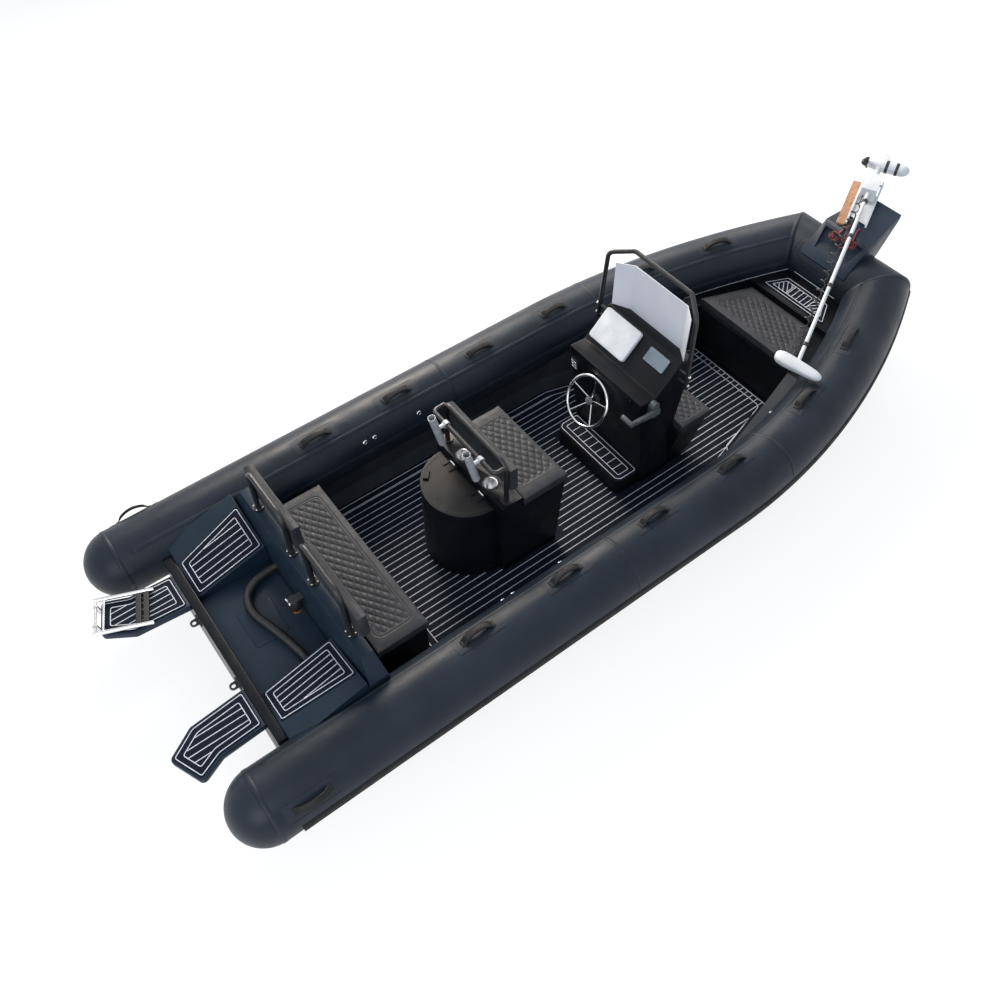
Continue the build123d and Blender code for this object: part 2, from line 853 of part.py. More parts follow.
# Towing eyes: flat drilled lugs that stand out of the transom's aft face
with BuildPart() as tow_eyes:
    for _, side in SIDES:
        lug_foot = (TRANSOM_BACK, side * EYE_Y, EYE_Z - EYE_THICK / 2)
        with BuildSketch(Plane(lug_foot, x_dir=(-1, 0, 0), z_dir=(0, 0, 1))):
            with Locations((EYE_REACH / 2, 0)):
                Rectangle(EYE_REACH, 2 * EYE_OUTER_R)
            with Locations((EYE_REACH, 0)):
                Circle(EYE_OUTER_R)
                Circle(EYE_HOLE_R, mode=Mode.SUBTRACT)
        extrude(amount=EYE_THICK)
        with BuildSketch(Plane((TRANSOM_BACK, side * EYE_Y, EYE_Z), x_dir=(0, 1, 0), z_dir=(-1, 0, 0))):
            RectangleRounded(EYE_BASE, EYE_BASE, EYE_BASE / 5)
        extrude(amount=EYE_THICK)
tow_eyes.part.label = "tow_eyes"
export_step(tow_eyes.part, "parts/tow_eyes.step")

# Boarding ladder, folded forward on the port platform and hinged at the platform's aft edge
aft_outer = Vector(*PLATFORM[3])
aft_inner = Vector(*PLATFORM[4])
ladder_along = (aft_outer - aft_inner).normalized()
ladder_fore = ladder_along.cross(Vector(0, 0, 1))
ladder_mid = (aft_outer + aft_inner) * 0.5
LADDER_Z = PLATFORM_TOP + EVA + LADDER_RAIL_R + LADDER_CLEAR
ladder_hinge_at = Vector(ladder_mid.X, ladder_mid.Y, LADDER_Z) - ladder_fore * LADDER_OVERHANG


def on_ladder(along, fore):
    """Point on the folded ladder: distance along its hinge, distance forward of it."""
    return ladder_hinge_at + ladder_along * along + ladder_fore * fore


with BuildPart() as ladder_hinge:
    for along in (-LUG_PITCH / 2, LUG_PITCH / 2):
        lug_face = on_ladder(along + LUG_THICK / 2, 0)
        with BuildSketch(Plane(lug_face, x_dir=ladder_fore, z_dir=-ladder_along)):
            Circle(LUG_R)
            with BuildLine():
                Polyline(
                    (-LUG_R, 0),
                    (LUG_R, 0),
                    (LADDER_OVERHANG, PLATFORM_TOP - LUG_DROP - LADDER_Z),
                    (LADDER_OVERHANG, PLATFORM_TOP - LUG_FOOT - LADDER_Z),
                    (0, PLATFORM_TOP - LUG_FOOT - LADDER_Z),
                    close=True,
                )
            make_face()
            Circle(HINGE_BAR_R + RUNNING_FIT, mode=Mode.SUBTRACT)
        extrude(amount=LUG_THICK)
ladder_hinge.part.label = "ladder_hinge"
export_step(ladder_hinge.part, "parts/ladder_hinge.step")

with BuildPart() as boarding_ladder:
    for along in (-LADDER_HALF, LADDER_HALF):
        add(straight_bar(on_ladder(along, -LADDER_RAIL_R), on_ladder(along, LADDER_LENGTH), LADDER_RAIL_R))
    add(straight_bar(on_ladder(-LADDER_HALF, 0), on_ladder(LADDER_HALF, 0), HINGE_BAR_R))
    add(straight_bar(on_ladder(-LADDER_HALF, LADDER_BAR), on_ladder(LADDER_HALF, LADDER_BAR), HINGE_BAR_R))
boarding_ladder.part.label = "boarding_ladder"
export_step(boarding_ladder.part, "parts/boarding_ladder.step")

with BuildPart() as ladder_treads:
    for fore in LADDER_TREADS:
        tread_end = on_ladder(-LADDER_HALF + LADDER_RAIL_R + FIT, fore)
        with BuildSketch(Plane(tread_end, x_dir=ladder_fore, z_dir=ladder_along)):
            RectangleRounded(TREAD_WIDTH, TREAD_THICK, TREAD_THICK / 3)
        extrude(amount=2 * (LADDER_HALF - LADDER_RAIL_R - FIT))
ladder_treads.part.label = "ladder_treads"
export_step(ladder_treads.part, "parts/ladder_treads.step")

# Bulkhead between the splash well and the bench, its top tapering down to the tubes
with BuildPart() as bulkhead:
    with BuildSketch(Plane.XZ):
        with BuildLine():
            Polyline(
                (BULKHEAD_X, DECK_Z),
                (BULKHEAD_X, QUARTER_Z),
                (BULKHEAD_X + BULKHEAD_SLOPE, BULKHEAD_TOP),
                (BULKHEAD_FRONT - BULKHEAD_SLOPE, BULKHEAD_TOP),
                (BULKHEAD_FRONT, BENCH_TOP),
                (BULKHEAD_FRONT, DECK_Z),
                close=True,
            )
        make_face()
    extrude(amount=TUBE_Y, both=True)
    with BuildSketch(Plane((BULKHEAD_X, 0, 0), x_dir=(0, 1, 0), z_dir=(1, 0, 0))):
        with BuildLine():
            Polyline(
                (-TUBE_Y, DECK_Z),
                (TUBE_Y, DECK_Z),
                (TUBE_Y, TUBE_Z),
                (BULKHEAD_SHOULDER, BULKHEAD_TOP),
                (-BULKHEAD_SHOULDER, BULKHEAD_TOP),
                (-TUBE_Y, TUBE_Z),
                close=True,
            )
        make_face()
    extrude(amount=BULKHEAD_FRONT - BULKHEAD_X, mode=Mode.INTERSECT)
    add(cockpit_space.part, mode=Mode.INTERSECT)
    for _, side in SIDES:
        add(tube_beds[side], mode=Mode.SUBTRACT)
bulkhead.part.label = "bulkhead"
export_step(bulkhead.part, "parts/bulkhead.step")

# Rear bench: moulded base and one wide cushion
with BuildPart() as bench_base:
    with BuildSketch(Plane.XY.offset(DECK_Z)):
        with Locations((BULKHEAD_FRONT, 0)):
            base_length = BENCH_FRONT - BENCH_TOE - BULKHEAD_FRONT
            Rectangle(base_length, 2 * BENCH_BASE_HALF, align=(Align.MIN, Align.CENTER))
    extrude(amount=BENCH_TOP - DECK_Z)
bench_base.part.label = "bench_base"
export_step(bench_base.part, "parts/bench_base.step")

with BuildPart() as bench_cushion:
    with BuildSketch(Plane.XY.offset(BENCH_TOP + FIT)):
        with Locations((BULKHEAD_FRONT + CUSHION_GAP, 0)):
            cushion_length = BENCH_FRONT - BULKHEAD_FRONT - CUSHION_GAP
            Rectangle(cushion_length, 2 * BENCH_HALF, align=(Align.MIN, Align.CENTER))
    extrude(amount=CUSHION_THICK)
    fillet(bench_cushion.edges().filter_by(Axis.Z), CUSHION_CORNER)
    fillet(bench_cushion.faces().sort_by(Axis.Z)[-1].edges(), CUSHION_EDGE)
bench_cushion.part.label = "bench_cushion"
export_step(bench_cushion.part, "parts/bench_cushion.step")

# Rear backrests: a bent tube hoop on two flanges, with a pad on its forward side
hoop_x = (BULKHEAD_X + BULKHEAD_FRONT) / 2
with BuildPart() as backrest_frames:
    for _, side in SIDES:
        inner, outer = (side * leg for leg in BACKREST_LEGS)
        add(
            bent_tube(
                (
                    (hoop_x, inner, BULKHEAD_TOP + FLANGE_THICK / 2),
                    (hoop_x, inner - side * HOOP_LEAN, BACKREST_RAIL_Z),
                    (hoop_x, outer - side * HOOP_LEAN, BACKREST_RAIL_Z),
                    (hoop_x, outer, BULKHEAD_TOP + FLANGE_THICK / 2),
                ),
                HOOP_BEND,
                RAIL_R,
            )
        )
        with BuildSketch(Plane.XY.offset(BULKHEAD_TOP)):
            with Locations((hoop_x, inner), (hoop_x, outer)):
                Circle(FLANGE_R)
        extrude(amount=FLANGE_THICK)
backrest_frames.part.label = "backrest_frames"
export_step(backrest_frames.part, "parts/backrest_frames.step")

with BuildPart() as backrest_pads:
    for _, side in SIDES:
        with BuildSketch(Plane((hoop_x + RAIL_R + FIT, 0, 0), x_dir=(0, 1, 0), z_dir=(1, 0, 0))):
            with Locations((side * sum(BACKREST_SPAN) / 2, (BACKREST_TOP + BACKREST_BOTTOM) / 2)):
                pad_width = BACKREST_SPAN[1] - BACKREST_SPAN[0]
                RectangleRounded(pad_width, BACKREST_TOP - BACKREST_BOTTOM, PAD_ROUND)
        extrude(amount=BACKREST_THICK)
    fillet(backrest_pads.edges().group_by(Axis.X)[-1], CUSHION_EDGE)
backrest_pads.part.label = "backrest_pads"
export_step(backrest_pads.part, "parts/backrest_pads.step")

# Helm seat pod with its tray for the cup holders
with BuildPart() as helm_pod:
    with BuildSketch(Plane.XZ):
        with BuildLine():
            Polyline(
                (POD_BACK, SOLE_Z),
                (POD_BACK, TRAY_TOP),
                (TRAY_FRONT, TRAY_TOP),
                (TRAY_FRONT, SEAT_TOP),
                (POD_FRONT, SEAT_TOP),
                (POD_FRONT - POD_RAKE, SOLE_Z),
                close=True,
            )
        make_face()
    extrude(amount=POD_HALF, both=True)
    with Locations(*(Location((CUP_PLACE[0], side * CUP_PLACE[1], TRAY_TOP)) for _, side in SIDES)):
        Hole(CUP_R + CUP_WALL + FIT, CUP_DEPTH + CUP_WALL + FIT)
helm_pod.part.label = "helm_pod"
export_step(helm_pod.part, "parts/helm_pod.step")

with BuildPart() as cup_holders:
    for _, side in SIDES:
        cup_mouth = (CUP_PLACE[0], side * CUP_PLACE[1], TRAY_TOP)
        with BuildSketch(Plane(cup_mouth, x_dir=(1, 0, 0), z_dir=(0, -1, 0))):
            with BuildLine():
                Polyline(
                    (0, -CUP_DEPTH - CUP_WALL),
                    (CUP_R + CUP_WALL, -CUP_DEPTH - CUP_WALL),
                    (CUP_R + CUP_WALL, 0),
                    (CUP_RIM, 0),
                    (CUP_RIM, CUP_WALL),
                    (CUP_R, CUP_WALL),
                    (CUP_R, -CUP_DEPTH),
                    (0, -CUP_DEPTH),
                    close=True,
                )
            make_face()
        revolve(axis=Axis(cup_mouth, (0, 0, 1)))
cup_holders.part.label = "cup_holders"
export_step(cup_holders.part, "parts/cup_holders.step")

with BuildPart() as helm_cushion:
    with BuildSketch(Plane.XY.offset(SEAT_TOP + FIT)):
        with Locations((TRAY_FRONT + CUSHION_GAP, 0)):
            cushion_length = HELM_CUSHION_FRONT - TRAY_FRONT - CUSHION_GAP
            Rectangle(cushion_length, 2 * HELM_CUSHION_HALF, align=(Align.MIN, Align.CENTER))
    extrude(amount=CUSHION_THICK)
    fillet(helm_cushion.edges().filter_by(Axis.Z), CUSHION_CORNER)
    fillet(helm_cushion.faces().sort_by(Axis.Z)[-1].edges(), CUSHION_EDGE)
helm_cushion.part.label = "helm_cushion"
export_step(helm_cushion.part, "parts/helm_cushion.step")

# Live tank behind the seat: a D-shaped tub, a little wider at its foot, open under its lid
with BuildPart() as live_tank:
    for z, radius in ((SOLE_Z, TANK_R + TANK_FLARE), (TANK_TOP, TANK_R)):
        with BuildSketch(Plane.XY.offset(z)):
            with BuildLine():
                back = CenterArc((TANK_X, 0), radius, 90, 180)
                Polyline(back @ 0, (POD_BACK, radius), (POD_BACK, -radius), back @ 1)
            make_face()
    loft(ruled=True)
    with BuildSketch(Plane.XY.offset(TANK_TOP)):
        with BuildLine():
            back = CenterArc((TANK_X - TANK_SHELF, 0), TANK_R - TANK_RIM, 90, 180)
            Line(back @ 0, back @ 1)
        make_face()
    extrude(amount=SOLE_Z + TANK_WALL - TANK_TOP, mode=Mode.SUBTRACT)
live_tank.part.label = "live_tank"
export_step(live_tank.part, "parts/live_tank.step")

HINGE_Z = TANK_TOP + LID_THICK + HINGE_LIFT
with BuildPart() as lid_hinge:
    for _, side in SIDES:
        block_end = (HINGE_X, side * HINGE_Y - HINGE_BLOCK / 2, HINGE_Z)
        with BuildSketch(Plane(block_end, x_dir=(1, 0, 0), z_dir=(0, -1, 0))):
            Circle(HINGE_R)
            with Locations((0, (TANK_TOP - HINGE_Z) / 2)):
                Rectangle(2 * HINGE_R, HINGE_Z - TANK_TOP)
        extrude(amount=-HINGE_BLOCK)
        add(
            straight_bar(
                (HINGE_X, side * HINGE_Y - HINGE_PIN / 2, HINGE_Z),
                (HINGE_X, side * HINGE_Y + HINGE_PIN / 2, HINGE_Z),
                HINGE_PIN_R,
            )
        )
lid_hinge.part.label = "lid_hinge"
export_step(lid_hinge.part, "parts/lid_hinge.step")

with BuildPart() as tank_lid:
    with BuildSketch(Plane.XY.offset(TANK_TOP + FIT)):
        with BuildLine():
            back = CenterArc((TANK_X, 0), TANK_R + LID_LIP, 90, 180)
            Line(back @ 0, back @ 1)
        make_face()
    extrude(amount=LID_THICK)
    fillet(tank_lid.faces().sort_by(Axis.Z)[-1].edges().filter_by(GeomType.CIRCLE), LID_ROUND)
    for _, side in SIDES:
        for shift in (-1, 1):
            barrel_y = side * HINGE_Y + shift * (HINGE_BLOCK + HINGE_BARREL + 2 * HINGE_PLAY) / 2
            with BuildSketch(Plane.XY.offset(TANK_TOP + FIT + LID_THICK)):
                with Locations((HINGE_X, barrel_y)):
                    Rectangle(HINGE_LEAF, HINGE_BARREL, align=(Align.MAX, Align.CENTER))
            extrude(amount=HINGE_LIFT)
            barrel_end = (HINGE_X, barrel_y - HINGE_BARREL / 2, HINGE_Z)
            with BuildSketch(Plane(barrel_end, x_dir=(1, 0, 0), z_dir=(0, -1, 0))):
                Circle(HINGE_R)
            extrude(amount=-HINGE_BARREL)
            add(
                straight_bar(
                    (HINGE_X, barrel_y - HINGE_BARREL, HINGE_Z),
                    (HINGE_X, barrel_y + HINGE_BARREL, HINGE_Z),
                    HINGE_PIN_R + RUNNING_FIT,
                ),
                mode=Mode.SUBTRACT,
            )
    with BuildSketch(Plane((TANK_X, 0, TANK_TOP + FIT + LID_THICK), x_dir=(-1, 1, 0), z_dir=(0, 0, 1))):
        with Locations((TANK_R - LID_TAB, 0)):
            Rectangle(LID_TAB, 2 * LID_TAB)
    extrude(amount=LID_TAB_RISE)
tank_lid.part.label = "tank_lid"
export_step(tank_lid.part, "parts/tank_lid.step")

# Helm seat hoop: main hoop on two flanges, and a rail behind it for the rod holders
with BuildPart() as helm_hoop:
    add(
        bent_tube(
            (
                (HOOP_X, HOOP_HALF, TRAY_TOP + FLANGE_THICK / 2),
                (HOOP_X, HOOP_HALF, HOOP_RAIL_Z),
                (HOOP_X, -HOOP_HALF, HOOP_RAIL_Z),
                (HOOP_X, -HOOP_HALF, TRAY_TOP + FLANGE_THICK / 2),
            ),
            HOOP_BEND,
            RAIL_R,
        )
    )
    add(
        bent_tube(
            (
                (HOOP_X, HOOP_HALF, ROD_RAIL_Z),
                (ROD_RAIL_X, HOOP_HALF, ROD_RAIL_Z),
                (ROD_RAIL_X, -HOOP_HALF, ROD_RAIL_Z),
                (HOOP_X, -HOOP_HALF, ROD_RAIL_Z),
            ),
            ROD_RAIL_BEND,
            RAIL_R - 1,
        )
    )
    with BuildSketch(Plane.XY.offset(TRAY_TOP)):
        with Locations((HOOP_X, HOOP_HALF), (HOOP_X, -HOOP_HALF)):
            Circle(FLANGE_R)
    extrude(amount=FLANGE_THICK)
helm_hoop.part.label = "helm_hoop"
export_step(helm_hoop.part, "parts/helm_hoop.step")

with BuildPart() as helm_backrest:
    with BuildSketch(Plane((HOOP_X + RAIL_R + FIT, 0, 0), x_dir=(0, 1, 0), z_dir=(1, 0, 0))):
        with Locations((0, (HELM_BACK_TOP + HELM_BACK_BOTTOM) / 2)):
            RectangleRounded(2 * HELM_BACK_HALF, HELM_BACK_TOP - HELM_BACK_BOTTOM, PAD_ROUND)
    extrude(amount=BACKREST_THICK)
    fillet(helm_backrest.edges().group_by(Axis.X)[-1], CUSHION_EDGE)
helm_backrest.part.label = "helm_backrest"
export_step(helm_backrest.part, "parts/helm_backrest.step")

# Rod holders: open tubes leaning aft, each clamped round the rail
rod_axis = Vector(-sin(radians(ROD_TILT)), 0, cos(radians(ROD_TILT)))
with BuildPart() as rod_holders:
    for _, side in SIDES:
        foot = Vector(ROD_FOOT_X, side * ROD_Y, ROD_FOOT_Z)
        grip = foot + rod_axis * ((ROD_RAIL_Z - ROD_FOOT_Z) / rod_axis.Z)
        with BuildSketch(Plane(foot, z_dir=rod_axis)):
            Circle(ROD_R)
        extrude(amount=ROD_LENGTH)
        add(straight_bar(grip, (ROD_RAIL_X, side * ROD_Y, ROD_RAIL_Z), CLAMP_NECK_R))
        with BuildSketch(Plane((ROD_RAIL_X, side * ROD_Y, ROD_RAIL_Z), x_dir=(1, 0, 0), z_dir=(0, 1, 0))):
            Circle(CLAMP_R)
        extrude(amount=CLAMP_WIDTH / 2, both=True)
        with BuildSketch(Plane((ROD_RAIL_X, side * ROD_Y, ROD_RAIL_Z), x_dir=(1, 0, 0), z_dir=(0, 1, 0))):
            Circle(RAIL_R - 1 + FIT)
        extrude(amount=CLAMP_WIDTH, both=True, mode=Mode.SUBTRACT)
        with BuildSketch(Plane(foot - rod_axis, z_dir=rod_axis)):
            Circle(ROD_BORE_R)
        extrude(amount=ROD_LENGTH + 2, mode=Mode.SUBTRACT)
rod_holders.part.label = "rod_holders"
export_step(rod_holders.part, "parts/rod_holders.step")

# Console: closed moulding, profile x and z from the foot of its aft face round to the front
CONSOLE_FOOT = (484, SOLE_Z)
CONSOLE_RIDGE = (369, 926)
CONSOLE_SHELF = (496, 917)
CONSOLE_TOP = (691, 1109)
CONSOLE_BROW = (800, 1085)
CONSOLE_SEAT = (715, 545)
with BuildPart() as console:
    with BuildSketch(Plane.XZ):
        with BuildLine():
            Polyline(
                CONSOLE_FOOT,
                CONSOLE_RIDGE,
                CONSOLE_SHELF,
                CONSOLE_TOP,
                CONSOLE_BROW,
                CONSOLE_SEAT,
                (CONSOLE_SEAT[0], SOLE_Z),
                close=True,
            )
        make_face()
    extrude(amount=CONSOLE_HALF, both=True)
    sides = console.faces().filter_by(Axis.Y)
    fillet(sides.edges().filter_by(lambda edge: edge.center().Z > CONSOLE_RIDGE[1] - 100), CONSOLE_ROUND)
console.part.label = "console"
export_step(console.part, "parts/console.step")

# Foot step against the console, with cut aft corners and its own foam pad
STEP_OUTLINE = (
    (STEP_BACK, STEP_HALF - STEP_CUT),
    (STEP_BACK + STEP_CUT, STEP_HALF),
    (CONSOLE_FOOT[0], STEP_HALF),
    (CONSOLE_FOOT[0], -STEP_HALF),
    (STEP_BACK + STEP_CUT, -STEP_HALF),
    (STEP_BACK, STEP_CUT - STEP_HALF),
)
with BuildPart() as console_step:
    with BuildSketch(Plane.XY.offset(SOLE_Z)):
        with BuildLine():
            Polyline(*STEP_OUTLINE, close=True)
        make_face()
    extrude(amount=STEP_TOP - SOLE_Z)
    add(console.part, mode=Mode.SUBTRACT)
console_step.part.label = "console_step"
export_step(console_step.part, "parts/console_step.step")


def slope_plane(low, high):
    """Plane across the boat through two profile points, its x to starboard and its y up the slope."""
    run, rise = high[0] - low[0], high[1] - low[1]
    return Plane((low[0], 0, low[1]), x_dir=(0, -1, 0), z_dir=(-rise, 0, run))


# Windscreen: bent tube frame on stub brackets, and a three-sided clear screen
screen_points = (
    (SCREEN_FOOT_X, SCREEN_FOOT_Y, SCREEN_FOOT_Z),
    (SCREEN_SHOULDER_X, SCREEN_SHOULDER_Y, SCREEN_SHOULDER_Z),
    (SCREEN_HEAD_X, SCREEN_HEAD_Y, SCREEN_HEAD_Z),
)
with BuildPart() as windscreen_frame:
    port_run = list(screen_points)
    starboard_run = [(x, -y, z) for x, y, z in reversed(screen_points)]
    add(bent_tube(port_run + starboard_run, SCREEN_BEND, SCREEN_R))
    for _, side in SIDES:
        for z in SCREEN_STUBS:
            share = (z - SCREEN_FOOT_Z) / (SCREEN_SHOULDER_Z - SCREEN_FOOT_Z)
            x = SCREEN_FOOT_X + share * (SCREEN_SHOULDER_X - SCREEN_FOOT_X)
            y = SCREEN_FOOT_Y + share * (SCREEN_SHOULDER_Y - SCREEN_FOOT_Y)
            add(straight_bar((x, side * CONSOLE_HALF, z), (x, side * y, z), SCREEN_STUB_R))
windscreen_frame.part.label = "windscreen_frame"
export_step(windscreen_frame.part, "parts/windscreen_frame.step")

brow = slope_plane(CONSOLE_TOP, CONSOLE_BROW)
with BuildPart() as windscreen_glass:
    with BuildSketch(Plane.XY.offset(SCREEN_FOOT_Z)):
        with BuildLine():
            Polyline(
                (GLASS_SIDE_X, GLASS_SIDE_Y),
                (GLASS_FRONT_X, GLASS_FRONT_Y),
                (GLASS_FRONT_X, -GLASS_FRONT_Y),
                (GLASS_SIDE_X, -GLASS_SIDE_Y),
                (GLASS_SIDE_X - GLASS_THICK, -GLASS_SIDE_Y),
                (GLASS_FRONT_X - GLASS_THICK, -GLASS_FRONT_Y),
                (GLASS_FRONT_X - GLASS_THICK, GLASS_FRONT_Y),
                (GLASS_SIDE_X - GLASS_THICK, GLASS_SIDE_Y),
                close=True,
            )
        make_face()
    extrude(amount=GLASS_TOP - SCREEN_FOOT_Z)
    split(bisect_by=brow.offset(FIT), keep=Keep.TOP)
windscreen_glass.part.label = "windscreen_glass"
export_step(windscreen_glass.part, "parts/windscreen_glass.step")

# Dash: covered plotter, small gauge and a bank of rocker switches
dash = slope_plane(CONSOLE_SHELF, CONSOLE_TOP)
with BuildPart() as display_cover:
    with BuildSketch(dash):
        with Locations(DISPLAY_AT):
            RectangleRounded(DISPLAY_WIDTH, DISPLAY_HEIGHT, DISPLAY_CORNER)
    extrude(amount=DISPLAY_THICK, taper=DISPLAY_TAPER)
display_cover.part.label = "display_cover"
export_step(display_cover.part, "parts/display_cover.step")

with BuildPart() as gauge_display:
    with BuildSketch(dash):
        with Locations(GAUGE_AT):
            RectangleRounded(GAUGE_WIDTH, GAUGE_HEIGHT, GAUGE_CORNER)
    extrude(amount=GAUGE_THICK)
gauge_display.part.label = "gauge_display"
export_step(gauge_display.part, "parts/gauge_display.step")

console_back = slope_plane(CONSOLE_RIDGE, CONSOLE_FOOT)
console_back = Plane(console_back.origin, x_dir=(0, -1, 0), z_dir=-console_back.z_dir)
with BuildPart() as switch_panel:
    with BuildSketch(console_back):
        with Locations(SWITCH_AT):
            RectangleRounded(SWITCH_WIDTH, SWITCH_HEIGHT, SWITCH_CORNER)
    extrude(amount=SWITCH_THICK)
    with BuildSketch(console_back.offset(SWITCH_THICK)):
        with Locations(SWITCH_AT):
            with GridLocations(SWITCH_PITCH, SWITCH_PITCH, 2, 3):
                Rectangle(SWITCH_KEY, SWITCH_KEY)
    extrude(amount=SWITCH_THICK / 2)
switch_panel.part.label = "switch_panel"
export_step(switch_panel.part, "parts/switch_panel.step")

# Steering: boss on the console, with the shaft that the wheel turns on
wheel_axis = Vector(-cos(radians(WHEEL_TILT)), 0, sin(radians(WHEEL_TILT)))
wheel_centre = Vector(*WHEEL_CENTRE)
with BuildPart() as helm_boss:
    add(straight_bar(wheel_centre - wheel_axis * BOSS_NEAR, wheel_centre - wheel_axis * BOSS_FAR, BOSS_R))
    add(straight_bar(wheel_centre - wheel_axis * SHAFT_END, wheel_centre - wheel_axis * BOSS_FAR, SHAFT_R))
    add(console.part, mode=Mode.SUBTRACT)
helm_boss.part.label = "helm_boss"
export_step(helm_boss.part, "parts/helm_boss.step")

wheel_side = Vector(0, -1, 0)
with BuildPart() as steering_wheel:
    with BuildSketch(Plane(wheel_centre, x_dir=wheel_side, z_dir=wheel_side.cross(wheel_axis))):
        with Locations((WHEEL_R - WHEEL_TUBE, 0)):
            Circle(WHEEL_TUBE)
        with BuildLine():
            Polyline(
                (SHAFT_R + RUNNING_FIT, -HUB_BACK),
                (HUB_R, -HUB_BACK),
                (HUB_R, -HUB_FRONT),
                (0, -HUB_FRONT),
                (0, -SHAFT_END + HUB_END_GAP),
                (SHAFT_R + RUNNING_FIT, -SHAFT_END + HUB_END_GAP),
                close=True,
            )
        make_face()
    revolve(axis=Axis(wheel_centre, wheel_axis))
    for spoke in range(SPOKES):
        out = wheel_side.rotate(Axis((0, 0, 0), wheel_axis), SPOKE_FIRST + spoke * 360 / SPOKES)
        root = wheel_centre - wheel_axis * (HUB_BACK + HUB_FRONT) / 2 + out * HUB_R * 0.8
        add(straight_bar(root, wheel_centre + out * (WHEEL_R - WHEEL_TUBE), SPOKE_R))
steering_wheel.part.label = "steering_wheel"
export_step(steering_wheel.part, "parts/steering_wheel.step")

# Throttle: control box on the console's starboard side, with its lever and grip
with BuildPart() as throttle_control:
    with BuildSketch(Plane((THROTTLE_X, -CONSOLE_HALF, THROTTLE_Z), x_dir=(1, 0, 0), z_dir=(0, -1, 0))):
        SlotCenterToCenter(THROTTLE_BOX, THROTTLE_BOX, rotation=90)
    extrude(amount=THROTTLE_DEPTH)
    lever_y = -CONSOLE_HALF - THROTTLE_DEPTH
    with BuildSketch(Plane((THROTTLE_X, lever_y, THROTTLE_Z), x_dir=(1, 0, 0), z_dir=(0, -1, 0))):
        with BuildLine():
            Polyline(
                (LEVER_ROOT, -LEVER_ROOT_HALF),
                (LEVER_ROOT, LEVER_ROOT_HALF),
                (-LEVER_LENGTH, LEVER_RISE + LEVER_TIP_HALF),
                (-LEVER_LENGTH, LEVER_RISE - LEVER_TIP_HALF),
                close=True,
            )
        make_face()
    extrude(amount=LEVER_THICK)
    grip_at = Vector(THROTTLE_X - LEVER_LENGTH, lever_y - LEVER_THICK, THROTTLE_Z + LEVER_RISE)
    add(straight_bar(grip_at, grip_at + Vector(0, GRIP_LENGTH, 0), GRIP_R))
throttle_control.part.label = "throttle_control"
export_step(throttle_control.part, "parts/throttle_control.step")

# Seat ahead of the console
with BuildPart() as seat_base:
    with BuildSketch(Plane.XY.offset(SOLE_Z)):
        with Locations((CONSOLE_SEAT[0], 0)):
            Rectangle(FRONT_BASE_LENGTH, 2 * FRONT_BASE_HALF, align=(Align.MIN, Align.CENTER))
    with BuildSketch(Plane.XY.offset(FRONT_SEAT_Z)):
        with Locations((CONSOLE_SEAT[0], 0)):
            Rectangle(FRONT_SEAT_LENGTH, 2 * FRONT_SEAT_HALF, align=(Align.MIN, Align.CENTER))
    loft(ruled=True)
seat_base.part.label = "seat_base"
export_step(seat_base.part, "parts/seat_base.step")

with BuildPart() as seat_cushion:
    with BuildSketch(Plane.XY.offset(FRONT_SEAT_Z + FIT)):
        with Locations((CONSOLE_SEAT[0] + CUSHION_GAP, 0)):
            Rectangle(FRONT_CUSHION_LENGTH, 2 * FRONT_CUSHION_HALF, align=(Align.MIN, Align.CENTER))
    extrude(amount=CUSHION_THICK)
    fillet(seat_cushion.edges().filter_by(Axis.Z), CUSHION_CORNER)
    fillet(seat_cushion.faces().sort_by(Axis.Z)[-1].edges(), CUSHION_EDGE)
seat_cushion.part.label = "seat_cushion"
export_step(seat_cushion.part, "parts/seat_cushion.step")

# Bow cushion on the locker, narrowing forward
with BuildPart() as bow_cushion:
    with BuildSketch(Plane.XY.offset(LOCKER_TOP + FIT)):
        with BuildLine():
            Polyline(
                (LOCKER_X + BOW_CUSHION_LIP, BOW_CUSHION_AFT),
                (BOW_STEP_X - BOW_CUSHION_SHORT, BOW_CUSHION_FORE),
                (BOW_STEP_X - BOW_CUSHION_SHORT, -BOW_CUSHION_FORE),
                (LOCKER_X + BOW_CUSHION_LIP, -BOW_CUSHION_AFT),
                close=True,
            )
        make_face()
    extrude(amount=CUSHION_THICK)
    fillet(bow_cushion.edges().filter_by(Axis.Z), CUSHION_CORNER)
    fillet(bow_cushion.faces().sort_by(Axis.Z)[-1].edges(), CUSHION_EDGE)
bow_cushion.part.label = "bow_cushion"
export_step(bow_cushion.part, "parts/bow_cushion.step")

# Foam pads underfoot: on the console step, and on the sloping bow step
bow_step_low = tube_station(BOW_STEP_X, 1)[0].Z - SHEER_DOWN
bow_step_high = tube_station(STEM_X, 1)[0].Z - SHEER_DOWN
bow_step_rise = (bow_step_high - bow_step_low) / (STEM_X - BOW_STEP_X)
bow_step_top = Plane((BOW_STEP_X, 0, bow_step_low), z_dir=(-bow_step_rise, 0, 1))
pad_aft_x = BOW_STEP_X + BOW_PAD_START
pad_fore_x = pad_aft_x + BOW_PAD_LENGTH
with BuildPart() as bow_foot_pad:
    with BuildSketch(Plane.XY.offset(bow_step_low)):
        with BuildLine():
            Polyline(
                (pad_aft_x, BOW_PAD_AFT),
                (pad_fore_x, BOW_PAD_FORE),
                (pad_fore_x, -BOW_PAD_FORE),
                (pad_aft_x, -BOW_PAD_AFT),
                close=True,
            )
        make_face()
    extrude(amount=TUBE_R)
    split(bisect_by=bow_step_top, keep=Keep.TOP)
    split(bisect_by=bow_step_top.offset(EVA), keep=Keep.BOTTOM)

